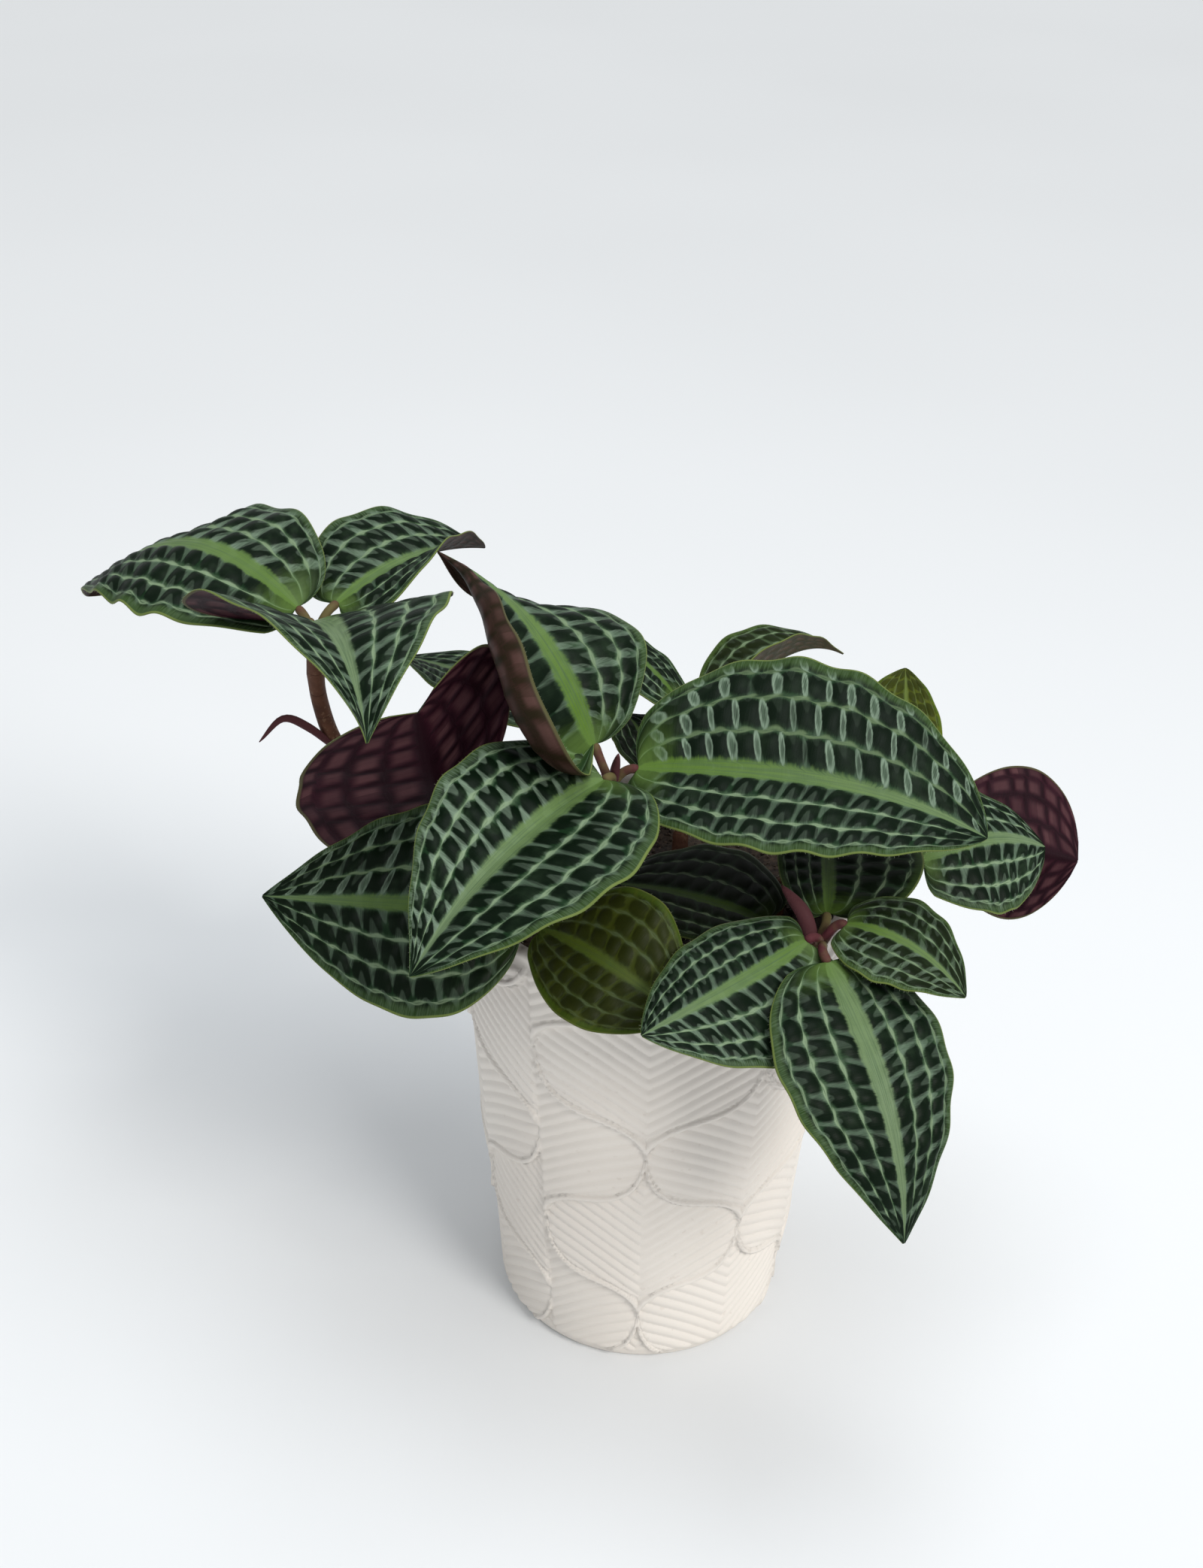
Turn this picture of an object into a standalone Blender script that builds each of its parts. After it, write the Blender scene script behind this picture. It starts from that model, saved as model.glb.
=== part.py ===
"""Potted seersucker plant: puckered, arc-veined leaves on short purple stems, in a cream planter.

Run with: blender --background --python part.py
The origin is at the middle of the planter's foot. Metres, +Z up, and the photograph's side is -Y.
The settings below are in millimetres and degrees.
"""

import math

import bmesh
import bpy
import numpy as np
from mathutils import Matrix, Vector, noise

MM = 0.001
GAP = 0.3  # clearance between pieces that touch

# Planter
POT_HEIGHT = 180.0
FOOT_RADIUS = 50.0
FLARE = 0.105  # growth of the radius for each unit of height
WALL = 5.0
FLOOR = 7.0
FOOT_ROUND = 1.2
LIP = 2.0  # height of the rounded rim
COLUMNS = 10  # columns of moulded leaves round the wall
FRONT_COLUMN = 0.8  # azimuth of the front column from -Y towards +X
SEAMS = (-35.2, 144.8)  # azimuths of the mould's joints, where the half drop starts again
DROP = 80.0  # height of one moulded leaf
FIRST_TIP = 20.0  # height of the lowest leaf point on the front column
RISE = 38.0  # how far a moulded leaf's lower edge climbs to the next column
RELIEF = 1.2  # how far a moulded leaf stands over the one below
POT_SIDES = 50
POT_ROWS = 16

# Soil
SOIL_TOP = 164.0
SOIL_ROUGHNESS = 1.5
SOIL_SIDES = 30
SOIL_RINGS = 6
STEM_DEPTH = 24.0  # how far the stems stand in the soil

# Blades
BLADE_THICKNESS = 0.8
BLADE_START = 1.4  # half width of a blade where it leaves its stalk
VEINS = (0.0, 0.36, 0.68, 1.0)  # places of the side veins, as shares of the half width
CROWN = 1.0  # how far the blade stands up between two veins
LOBE = 7.0  # how far the blade's base reaches back beside the stalk
FULLNESS = 0.5  # shape of the outline at the base: smaller is rounder
TAPER = 0.9  # shape of the outline at the tip: larger is more drawn out
STALK_RADIUS = 1.7

LARGE = dict(rows=8, halves=6)
SMALL = dict(rows=6, halves=6)

# base and tip: the ends of the midrib. rise: how far its near and far thirds stand above the
# straight line. sway: the same sideways, to the right of a viewer who looks from base to tip.
# roll: turn of the blade about its midrib, right side down. wide: left and right half widths.
# left and right: slope of that half beside the midrib, and how much more it turns by its margin,
# both upwards. wave: height, number and start of the margin's waves. crease: how sharply the
# margin turns. sweep: how far the margin lies ahead of the midrib. lobe, full and taper stand in
# for the constants above, and these four may be a pair, for the left and the right half.
# Three numbers in place of one hold at the base, the middle and the tip.
LEAVES = {
    "leaf_a1": dict(
        LARGE, base=(-124, 22, 262), tip=(-208, 64, 243), rise=(33, 25), sway=(0, 0), roll=0,
        wide=(36, 36), left=((-5, -14, 8), -10), right=((12, 0, -45), (0, -15, -40)),
        lobe=(7, 2), wave=(1.5, 5, 0),
    ),
    "leaf_a2": dict(
        LARGE, base=(-112, 27, 262), tip=(-68, 88, 258), rise=(8, 8), sway=(0, 0), roll=20,
        wide=(30, 18), left=((-30, 4, 3), -10), right=((-10, 45, 55), (0, 30, 30)),
        lobe=(2, 7), wave=(1.0, 4, 0),
    ),
    "leaf_a3": dict(
        LARGE, base=(-118, 12, 262), tip=(-90, -53, 254), rise=(14, 26), sway=(0, 0), roll=(0, 10, 20),
        wide=(44, 44), left=(4, -8), right=((10, 36, 30), 0), full=0.3, taper=(1.05, 1.6), wave=(1.0, 4, 0),
    ),
    "leaf_b1": dict(
        LARGE, base=(-22, -12, 234), tip=(-78, 33, 280), rise=(16, 10), sway=(0, 8), roll=0,
        wide=(50, 36), left=(0, (150, 190, 270)), right=((5, -5, -110), (-10, -20, -30)), crease=3,
        full=(0.3, 0.8), taper=1.2, wave=(1.0, 4, 0),
    ),
    "leaf_b2": dict(
        LARGE, base=(-18, -27, 230), tip=(-72, -98, 200), rise=(10, 14), sway=(0, 0), roll=0,
        wide=(43, 35), left=(10, -10), right=(20, -10), full=(0.6, 0.5), taper=(0.9, 1.15), wave=(1.0, 5, 0),
    ),
    "leaf_b3": dict(
        LARGE, base=(-8, -19, 230), tip=(103, -42, 224), rise=(8, 14), sway=(0, 0), roll=4,
        wide=(46, 31), left=(28, -10), right=(-12, -10), taper=0.75, wave=(1.0, 6, 0),
    ),
    "leaf_b4": dict(
        SMALL, base=(4, 66, 212), tip=(-34, 96, 222), rise=(8, 8), sway=(0, 0), roll=0,
        wide=(18, 9), left=(10, -10), right=(10, -10), wave=(0.5, 4, 0),
    ),
    "leaf_c1": dict(
        LARGE, base=(-72, 4, 184), tip=(-80, -12, 243), rise=(0, 0), sway=(0, 0), roll=0,
        lobe=(1, 16), sweep=(40, -6), wide=(34, 50), left=(50, 0), right=(-22, 0),
        full=(0.4, 0.3), taper=0.5, wave=(1.0, 4, 0),
    ),
    "leaf_c2": dict(
        LARGE, base=(-42, -44, 188), tip=(-130, -32, 182), rise=(2, 0), sway=(0, 0), roll=-35,
        wide=(38, 38), left=(0, -10), right=(0, -10), taper=1.0, lobe=(2, 4), wave=(1.0, 5, 0),
    ),
    "leaf_d1": dict(
        SMALL, base=(-36, -52, 188), tip=(10, -80, 177), rise=(12, 10), sway=(8, 8), roll=30,
        wide=(26, 22), left=(10, -10), right=(-10, 10), full=0.8, taper=0.8, wave=(0.5, 4, 0),
    ),
    "leaf_e1": dict(
        SMALL, base=(48, -64, 197), tip=(-2, -108, 190), rise=(-2, 0), sway=(0, 0), roll=0,
        wide=(30, 23), left=(-30, -10), right=(10, -10), wave=(0.5, 4, 0),
    ),
    "leaf_e2": dict(
        LARGE, base=(54, -72, 195), tip=(80, -125, 130), rise=(16, 20), sway=(0, 0), roll=0, lobe=3,
        wide=(28, 30), left=(-5, -10), right=(0, -10), taper=1.0, wave=(1.0, 5, 0),
    ),
    "leaf_e3": dict(
        SMALL, base=(60, -57, 199), tip=(97, -76, 187), rise=(8, 8), sway=(0, 0), roll=0, lobe=4,
        wide=(20, 19), left=(10, -10), right=(-10, -10), wave=(0.5, 4, 0),
    ),
    "leaf_e4": dict(
        SMALL, base=(55, -46, 195), tip=(56, 22, 196), rise=(6, 6), sway=(0, 0), roll=0,
        wide=(16, 32), left=(10, -10), right=(10, -10), wave=(0.5, 4, 0),
    ),
    "leaf_f1": dict(
        SMALL, base=(37, -30, 180), tip=(-18, -14, 182), rise=(4, 4), sway=(0, 0), roll=0,
        wide=(20, 30), left=(-5, -10), right=(10, -10), wave=(0.5, 4, 0),
    ),
    "leaf_g1": dict(
        SMALL, base=(88, -12, 196), tip=(133, 12, 189), rise=(8, 8), sway=(0, 0), roll=10,
        wide=(24, 26), left=(10, -10), right=(-30, -10), taper=0.6, wave=(0.5, 4, 0),
    ),
    "leaf_g2": dict(
        SMALL, base=(96, 16, 188), tip=(145, 12, 184), rise=(2, 2), sway=(0, 0), roll=-125,
        wide=(26, 31), left=(15, 10), right=(15, 10), full=0.8, taper=0.6, wave=(0.5, 4, 0),
    ),
    "leaf_g3": dict(
        SMALL, base=(84, 14, 206), tip=(85, 62, 230), rise=(6, 6), sway=(0, 0), roll=0,
        wide=(20, 12), left=(10, -10), right=(10, -10), wave=(0.5, 4, 0),
    ),
    "leaf_h1": dict(
        SMALL, base=(22, 76, 204), tip=(67, 112, 210), rise=(10, 16), sway=(0, 0), roll=0,
        wide=(24, 22), left=(10, -10), right=(60, 0), full=(0.5, 0.35), taper=(0.9, 1.6), wave=(0.5, 4, 0),
    ),
    "leaf_i1": dict(
        SMALL, base=(-38, 72, 198), tip=(-98, 92, 210), rise=(4, 4), sway=(0, 0), roll=0,
        wide=(26, 26), left=(10, -10), right=(0, -10), wave=(0.5, 4, 0),
    ),
    "leaf_k1": dict(
        SMALL, base=(-4, 48, 196), tip=(-14, 66, 204), rise=(3, 3), sway=(0, 0), roll=0,
        wide=(12, 12), left=(10, -10), right=(10, -10), wave=(0.5, 4, 0),
    ),
}

# path: points that the stem passes, the first over its hole in the soil. radius: at its foot and
# its top. stalks: the leaves it carries, and how far along the stem each stalk leaves. sheaths:
# paths of the small rolled leaves and buds beside the stalks, and how thick they are.
STEMS = {
    "stem_a": dict(
        path=(
            (-42, 24, 167), (-46, 25, 178), (-66, 33, 187), (-95, 38, 189),
            (-113, 36, 199), (-120, 32, 222), (-119, 20, 254),
        ),
        radius=(3.4, 2.8), stalks=dict(leaf_a1=0.97, leaf_a2=0.95, leaf_a3=0.99, leaf_c1=0.35),
        sheaths=((((-115, 34, 202), (-124, 29, 213), (-132, 25, 218), (-140, 22, 210)), 1.5),),
    ),
    "stem_b": dict(
        path=((-12, 2, 167), (-12, 1, 178), (-14, -8, 205), (-16, -18, 222)),
        radius=(3.2, 2.2), stalks=dict(leaf_b1=0.95, leaf_b2=0.98, leaf_b3=0.96),
        sheaths=((((-16, -17, 220), (-15, -21, 230), (-14, -24, 238)), 1.7),),
    ),
    "stem_c": dict(
        path=((-38, -16, 167), (-39, -20, 174), (-43, -34, 184)),
        radius=(3.0, 2.2), stalks=dict(leaf_c2=0.95, leaf_d1=0.98), sheaths=(),
    ),
    "stem_e": dict(
        path=((34, -24, 167), (36, -28, 174), (46, -46, 184), (52, -56, 190)),
        radius=(3.2, 2.4), stalks=dict(leaf_e1=0.97, leaf_e2=0.99, leaf_e3=0.98, leaf_e4=0.9, leaf_f1=0.4),
        sheaths=((((51, -54, 189), (47, -50, 198), (40, -44, 204)), 2.6),),
    ),
    "stem_g": dict(
        path=((42, 4, 167), (46, 4, 176), (64, 4, 186), (80, 2, 190)),
        radius=(3.0, 2.0), stalks=dict(leaf_g1=0.95, leaf_g2=0.98, leaf_g3=0.9), sheaths=(),
    ),
    "stem_h": dict(
        path=((8, 34, 167), (8, 38, 178), (9, 50, 196)),
        radius=(3.0, 2.0), stalks=dict(leaf_b4=0.94, leaf_h1=0.9, leaf_k1=0.55), sheaths=(),
    ),
    "stem_i": dict(
        path=((-26, 34, 167), (-27, 38, 176), (-32, 56, 192)),
        radius=(2.8, 1.9), stalks=dict(leaf_i1=0.98), sheaths=(),
    ),
}


def unit(vectors):
    return vectors / np.linalg.norm(vectors, axis=-1, keepdims=True)


def along(values, share):
    """A setting at a share of the midrib: one number, or three for base, middle and tip."""
    if np.isscalar(values):
        return np.full_like(share, float(values))
    base, middle, tip = values
    ends = base * (1 - share) * (1 - 2 * share) + tip * share * (2 * share - 1)
    return ends + 4 * middle * share * (1 - share)


def midrib(leaf, share):
    """Points of a leaf's midrib, their directions, and the leaf's upward direction there."""
    base, tip = np.array(leaf["base"], float), np.array(leaf["tip"], float)
    chord = unit(tip - base)
    upward = unit(np.array((0.0, 0.0, 1.0)) - chord[2] * chord)
    rightward = np.cross(chord, upward)
    near = base + (tip - base) / 3 + upward * leaf["rise"][0] + rightward * leaf["sway"][0]
    far = tip + (base - tip) / 3 + upward * leaf["rise"][1] + rightward * leaf["sway"][1]
    t = share[:, None]
    points = base * (1 - t) ** 3 + 3 * near * t * (1 - t) ** 2 + 3 * far * t**2 * (1 - t) + tip * t**3
    ahead = unit(3 * (near - base) * (1 - t) ** 2 + 6 * (far - near) * t * (1 - t) + 3 * (tip - far) * t**2)
    normal = unit(upward - (ahead @ upward)[:, None] * ahead)
    turn = np.radians(along(leaf["roll"], share))[:, None]
    normal = np.cos(turn) * normal + np.sin(turn) * np.cross(ahead, normal)
    return points, ahead, normal


def sided(value, across):
    """A setting that may be a pair, for the left and the right half, at each place across."""
    left, right = np.broadcast_to(value, 2)
    return np.where(across < 0, left, right)


def half_width(leaf, share, across):
    """The outline: how much of the half width the blade has at each share of the midrib."""
    full, taper = sided(leaf.get("full", FULLNESS), across), sided(leaf.get("taper", TAPER), across)
    widest = full / (full + taper)
    return share**full * (1 - share) ** taper / (widest**full * (1 - widest) ** taper)


def blade(leaf, forward, across):
    """Points of a leaf's middle surface for forward 0 to 1 and across -1, left margin, to 1."""
    share = forward**1.5
    points, ahead, normal = midrib(leaf, share)
    rightward = np.cross(ahead, normal)
    out = np.abs(across)
    outline = half_width(leaf, share, across)
    length = np.linalg.norm(np.subtract(leaf["tip"], leaf["base"]))
    offset = np.zeros_like(points)
    for side, setting, width in ((-1, "left", leaf["wide"][0]), (1, "right", leaf["wide"][1])):
        slope, bend = (np.radians(along(value, share)) for value in leaf[setting])
        steps = (np.arange(24) + 0.5) / 24
        angle = slope[:, None] + bend[:, None] * (out[:, None] * steps) ** leaf.get("crease", 2)
        reach = out * (BLADE_START + (width - BLADE_START) * outline)
        level, height = reach * np.cos(angle).mean(axis=1), reach * np.sin(angle).mean(axis=1)
        shift = side * level[:, None] * rightward + height[:, None] * normal
        offset = np.where((np.sign(across) == side)[:, None], shift, offset)
    back = sided(leaf.get("lobe", LOBE), across) * out**1.6 * np.clip(2.2 * outline, 0, 1) * (1 - share) ** 7
    ahead_by = 1.5 * GAP * (1 - share) - back + sided(leaf.get("sweep", 0), across) * out * outline
    size, count, start = leaf["wave"]
    wave = size * np.sin(2 * np.pi * count * share + start + across) * out**2 * np.sin(np.pi * share)
    panel = np.zeros_like(out)
    for inner, outer in zip(VEINS, VEINS[1:]):
        within = np.clip((out - inner) / (outer - inner), 0, 1)
        panel += np.sin(np.pi * within)
    crown = CROWN * panel * np.clip(outline * 1.3, 0, 1) * np.clip(length / 90, 0.5, 1)
    return points + offset + ahead_by[:, None] * ahead + (wave + crown)[:, None] * normal


def new_collection(name):
    collection = bpy.data.collections.new(name)
    bpy.context.scene.collection.children.link(collection)
    return collection


def material(name, colour, roughness):
    made = bpy.data.materials.new(name)
    made.use_nodes = True
    shader = made.node_tree.nodes["Principled BSDF"]
    shader.inputs["Base Color"].default_value = (*colour, 1.0)
    shader.inputs["Roughness"].default_value = roughness
    made.diffuse_color = (*colour, 1.0)
    return made


def add_object(name, data, collection, finish):
    made = bpy.data.objects.new(name, data)
    collection.objects.link(made)
    data.materials.append(finish)
    return made


def as_mesh(source, name, collection, finish, weld=0.00001):
    """The object as its modifiers leave it, with doubled points merged, in place of the object."""
    graph = bpy.context.evaluated_depsgraph_get()
    mesh = bpy.data.meshes.new_from_object(source.evaluated_get(graph))
    place = source.matrix_world.copy()
    bpy.data.objects.remove(source)
    built = bmesh.new()
    built.from_mesh(mesh)
    bmesh.ops.remove_doubles(built, verts=built.verts, dist=weld)
    built.to_mesh(mesh)
    built.free()
    mesh.materials.clear()
    made = add_object(name, mesh, collection, finish)
    made.matrix_world = place
    return made


def turned(name, profile, sides, collection, finish):
    """A turned solid from a profile of (radius, height) that ends down its outer side."""
    mesh = bpy.data.meshes.new(name)
    points = [(radius * MM, 0.0, height * MM) for radius, height in profile]
    mesh.from_pydata(points, [(i, i + 1) for i in range(len(points) - 1)], [])
    source = add_object(name + "_profile", mesh, collection, finish)
    screw = source.modifiers.new("turn", "SCREW")
    screw.steps = sides
    screw.render_steps = sides
    screw.use_merge_vertices = True
    screw.merge_threshold = 0.00001
    bpy.context.view_layer.update()
    return as_mesh(source, name, collection, finish)


def outer_radius(height):
    return FOOT_RADIUS + FLARE * height


def edge_climb(share):
    """How far a moulded leaf's lower edge has climbed: an S, steep by its own column and by the next."""
    turn = min(abs(2 * share - 1), 1)
    bend = 0.25 * turn + 0.75 * (1 - math.sqrt(1 - turn**3))
    return RISE * (0.5 + 0.5 * math.copysign(bend, 2 * share - 1))


def moulded_relief(azimuth, height):
    """How far the overlapping leaves moulded in the wall stand out, each thickest at its lower edge."""
    spacing = 360.0 / COLUMNS
    turn = (azimuth - FRONT_COLUMN) / spacing
    column = math.floor(turn)
    share = turn - column
    after_seam = (azimuth - SEAMS[0]) % 360 < (SEAMS[1] - SEAMS[0]) % 360
    odd = (column + (0 if after_seam else 1)) % 2
    own = height - FIRST_TIP - 0.5 * DROP * odd - edge_climb(share)
    above = own % DROP
    first_height = 0.5 * DROP + edge_climb(1 - share) - edge_climb(share)
    if above < first_height:
        fall = above / first_height
    else:
        fall = (above - first_height) / (DROP - first_height)
    return RELIEF * (1 - fall)


def build_pot(collection, finish):
    wall_bottom = FOOT_ROUND * 1.5
    inner_bottom, inner_top = outer_radius(FLOOR) - WALL, outer_radius(POT_HEIGHT) - WALL
    profile = [(0.0, FLOOR), (inner_bottom, FLOOR), (inner_top, POT_HEIGHT - LIP)]
    profile += [(inner_top + 0.3 * WALL, POT_HEIGHT), (outer_radius(POT_HEIGHT) - 0.3 * WALL, POT_HEIGHT)]
    for height in np.linspace(POT_HEIGHT - LIP, wall_bottom, POT_ROWS + 1):
        profile.append((outer_radius(height), height))
    profile += [(FOOT_RADIUS - FOOT_ROUND, 0.0), (0.0, 0.0)]
    pot = turned("pot", profile, POT_SIDES, collection, finish)
    for vertex in pot.data.vertices:
        x, y, z = vertex.co / MM
        radius = math.hypot(x, y)
        on_wall = wall_bottom - 0.01 < z < POT_HEIGHT - LIP + 0.01
        if on_wall and radius > outer_radius(z) - 0.1:
            proud = moulded_relief(math.degrees(math.atan2(x, -y)), z) / radius
            vertex.co.x *= 1 + proud
            vertex.co.y *= 1 + proud
    return pot


def build_soil(stems, collection, cutters, finish):
    top = outer_radius(SOIL_TOP) - WALL - GAP - 0.2
    bottom = outer_radius(FLOOR) - WALL - GAP - 0.2
    profile = [(top * ring / SOIL_RINGS, SOIL_TOP) for ring in range(SOIL_RINGS + 1)]
    profile += [(bottom, FLOOR + GAP), (0.0, FLOOR + GAP)]
    soil = turned("soil", profile, SOIL_SIDES, collection, finish)
    for vertex in soil.data.vertices:
        radius = math.hypot(vertex.co.x, vertex.co.y) / MM
        if vertex.co.z > (SOIL_TOP - 1) * MM and radius < 0.95 * top:
            vertex.co.z += SOIL_ROUGHNESS * MM * noise.noise(Vector(vertex.co) / (12 * MM))
    for name, stem in stems.items():
        x, y = stem["path"][0][:2]
        bpy.ops.mesh.primitive_cylinder_add(
            vertices=10, radius=(stem["radius"][0] + 2 * GAP) * MM, depth=2 * (STEM_DEPTH + GAP) * MM,
            location=(x * MM, y * MM, SOIL_TOP * MM),
        )
        hole = bpy.context.object
        hole.name = name + "_hole"
        for holder in list(hole.users_collection):
            holder.objects.unlink(hole)
        cutters.objects.link(hole)
        hole.hide_render = True
        hole.display_type = "WIRE"
        cut = soil.modifiers.new(name, "BOOLEAN")
        cut.operation = "DIFFERENCE"
        cut.object = hole
    return soil


def smooth_path(points, per_span):
    """Points on a Catmull-Rom curve through the given points."""
    points = np.array(points, float)
    ends = np.vstack([2 * points[0] - points[1], points, 2 * points[-1] - points[-2]])
    made = [points[0]]
    for i in range(1, len(ends) - 2):
        a, b, c, d = ends[i - 1 : i + 3]
        squared, cubed = 2 * a - 5 * b + 4 * c - d, 3 * b - a - 3 * c + d
        for t in np.arange(1, per_span + 1) / per_span:
            made.append(0.5 * (2 * b + (c - a) * t + squared * t**2 + cubed * t**3))
    return np.array(made)


def tube(name, points, radii, collection, finish, resolution=2):
    """A closed round tube through points in millimetres."""
    curve = bpy.data.curves.new(name, "CURVE")
    curve.dimensions = "3D"
    curve.bevel_depth = MM
    curve.bevel_resolution = resolution
    curve.use_fill_caps = True
    curve.twist_mode = "MINIMUM"
    spline = curve.splines.new("POLY")
    spline.points.add(len(points) - 1)
    for spot, place, radius in zip(spline.points, points, radii):
        spot.co = (*(place * MM), 1.0)
        spot.radius = radius
    source = add_object(name + "_curve", curve, collection, finish)
    bpy.context.view_layer.update()
    return as_mesh(source, name, collection, finish)


def stem_line(stem):
    """The main stem from its foot in the soil to its top, upright in its hole."""
    x, y, top = stem["path"][0]
    foot = SOIL_TOP - STEM_DEPTH
    return np.vstack([(x, y, foot), smooth_path([(x, y, top), *stem["path"][1:]], 3)])


def stalk_line(stem, share, leaf):
    """A leaf stalk: it leaves the stem and runs into the leaf's midrib."""
    line = stem_line(stem)
    place = share * (len(line) - 1)
    index = min(int(place), len(line) - 2)
    start = line[index] + (line[index + 1] - line[index]) * (place - index)
    base, ahead, _ = (found[0] for found in midrib(leaf, np.zeros(1)))
    reach = 0.4 * np.linalg.norm(base - start)
    leave = start + reach * unit(line[index + 1] - line[index])
    arrive = base - reach * ahead
    end = base - ahead  # the last millimetre is straight, so that the stalk ends square to the blade
    t = np.linspace(0, 1, 5)[:, None]
    curve = start * (1 - t) ** 3 + 3 * leave * t * (1 - t) ** 2 + 3 * arrive * t**2 * (1 - t) + end * t**3
    return np.vstack([curve, base])


def build_stem(name, stem, leaves, collection, joined, finish):
    line = stem_line(stem)
    foot, top = stem["radius"]
    stem_object = tube(name, line, np.linspace(foot, top, len(line)), collection, finish)
    for leaf_name, share in stem["stalks"].items():
        points = stalk_line(stem, share, leaves[leaf_name])
        radii = np.linspace(STALK_RADIUS + 0.3, STALK_RADIUS, len(points))
        tube(leaf_name + "_stalk", points, radii, joined, finish, resolution=1)
    for number, (points, radius) in enumerate(stem["sheaths"]):
        points = smooth_path(points, 3)
        radii = radius * (0.15 + 0.85 * np.sin(np.pi * np.linspace(0.2, 1, len(points))) ** 0.7)
        tube(f"{name}_sheath_{number}", points, radii, joined, finish, resolution=1)
    union = stem_object.modifiers.new("stalks", "BOOLEAN")
    union.operation = "UNION"
    union.operand_type = "COLLECTION"
    union.collection = joined
    bpy.context.view_layer.update()
    made = as_mesh(stem_object, name, collection, finish)
    for used in list(joined.objects):
        bpy.data.objects.remove(used)
    return made


def build_leaf(name, leaf, collection, finish):
    """A blade in vein coordinates: split into triangles first, so that both faces split alike."""
    rows, halves = leaf["rows"], leaf["halves"]
    built = bmesh.new()
    bmesh.ops.create_grid(built, x_segments=2 * halves, y_segments=rows, size=1.0)
    places = np.array([vertex.co[:] for vertex in built.verts])
    column = np.abs(places[:, 0]) * halves
    stops = np.interp(np.arange(halves + 1), np.linspace(0, halves, 2 * len(VEINS) - 1), half_stops())
    across = np.sign(places[:, 0]) * np.interp(column, np.arange(halves + 1), stops)
    points = blade(leaf, (places[:, 1] + 1) / 2, across)
    for vertex, point in zip(built.verts, points):
        vertex.co = Vector(point * MM)
    bmesh.ops.triangulate(built, faces=built.faces)
    bmesh.ops.recalc_face_normals(built, faces=built.faces)
    mesh = bpy.data.meshes.new(name)
    built.to_mesh(mesh)
    built.free()
    made = add_object(name, mesh, collection, finish)
    wall = made.modifiers.new("thickness", "SOLIDIFY")
    wall.thickness = BLADE_THICKNESS * MM
    wall.offset = 0.0
    mesh.shade_smooth()
    return made


def half_stops():
    """Veins and the middles of the panels between them, as shares of the half width."""
    stops = []
    for inner, outer in zip(VEINS, VEINS[1:]):
        stops += [inner, (inner + outer) / 2]
    return stops + [VEINS[-1]]


def main():
    for old in list(bpy.data.objects):
        bpy.data.objects.remove(old)
    plant = new_collection("potted_seersucker_plant")
    cutters = new_collection("cutters")
    joined = new_collection("stalks_to_join")
    ceramic = material("cream_ceramic", (0.80, 0.76, 0.70), 0.75)
    earth = material("potting_soil", (0.045, 0.030, 0.020), 0.95)
    stem_skin = material("stem_skin", (0.10, 0.035, 0.035), 0.5)
    leaf_skin = material("leaf_skin", (0.05, 0.15, 0.06), 0.35)
    build_pot(plant, ceramic)
    build_soil(STEMS, plant, cutters, earth)
    for name, stem in STEMS.items():
        build_stem(name, stem, LEAVES, plant, joined, stem_skin)
    for name, leaf in LEAVES.items():
        build_leaf(name, leaf, plant, leaf_skin)


main()
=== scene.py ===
import math

import bpy
import numpy as np
from mathutils import Matrix, Vector


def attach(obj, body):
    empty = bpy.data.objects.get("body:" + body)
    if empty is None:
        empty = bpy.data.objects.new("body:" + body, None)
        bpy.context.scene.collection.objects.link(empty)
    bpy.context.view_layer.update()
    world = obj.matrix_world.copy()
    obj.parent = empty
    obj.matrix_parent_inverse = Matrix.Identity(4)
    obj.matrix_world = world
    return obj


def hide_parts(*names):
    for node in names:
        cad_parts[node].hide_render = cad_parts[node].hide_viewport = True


# Dresses the potted seersucker plant: fine puckered blades, ribbed planter wall, stems, soil and hairs.
# Sizes in the dictionaries are in millimetres and degrees.

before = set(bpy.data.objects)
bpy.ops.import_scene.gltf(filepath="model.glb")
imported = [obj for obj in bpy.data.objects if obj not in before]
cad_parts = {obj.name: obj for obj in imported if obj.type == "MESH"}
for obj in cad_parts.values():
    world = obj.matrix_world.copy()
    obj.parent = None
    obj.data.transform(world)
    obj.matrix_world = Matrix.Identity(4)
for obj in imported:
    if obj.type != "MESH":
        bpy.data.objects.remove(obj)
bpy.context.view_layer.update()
mm = 0.001
veinPlaces = (0.07, 0.35, 0.64, 0.87, 1.0)  # side veins as shares of the half width; the first is the midrib's edge


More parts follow.
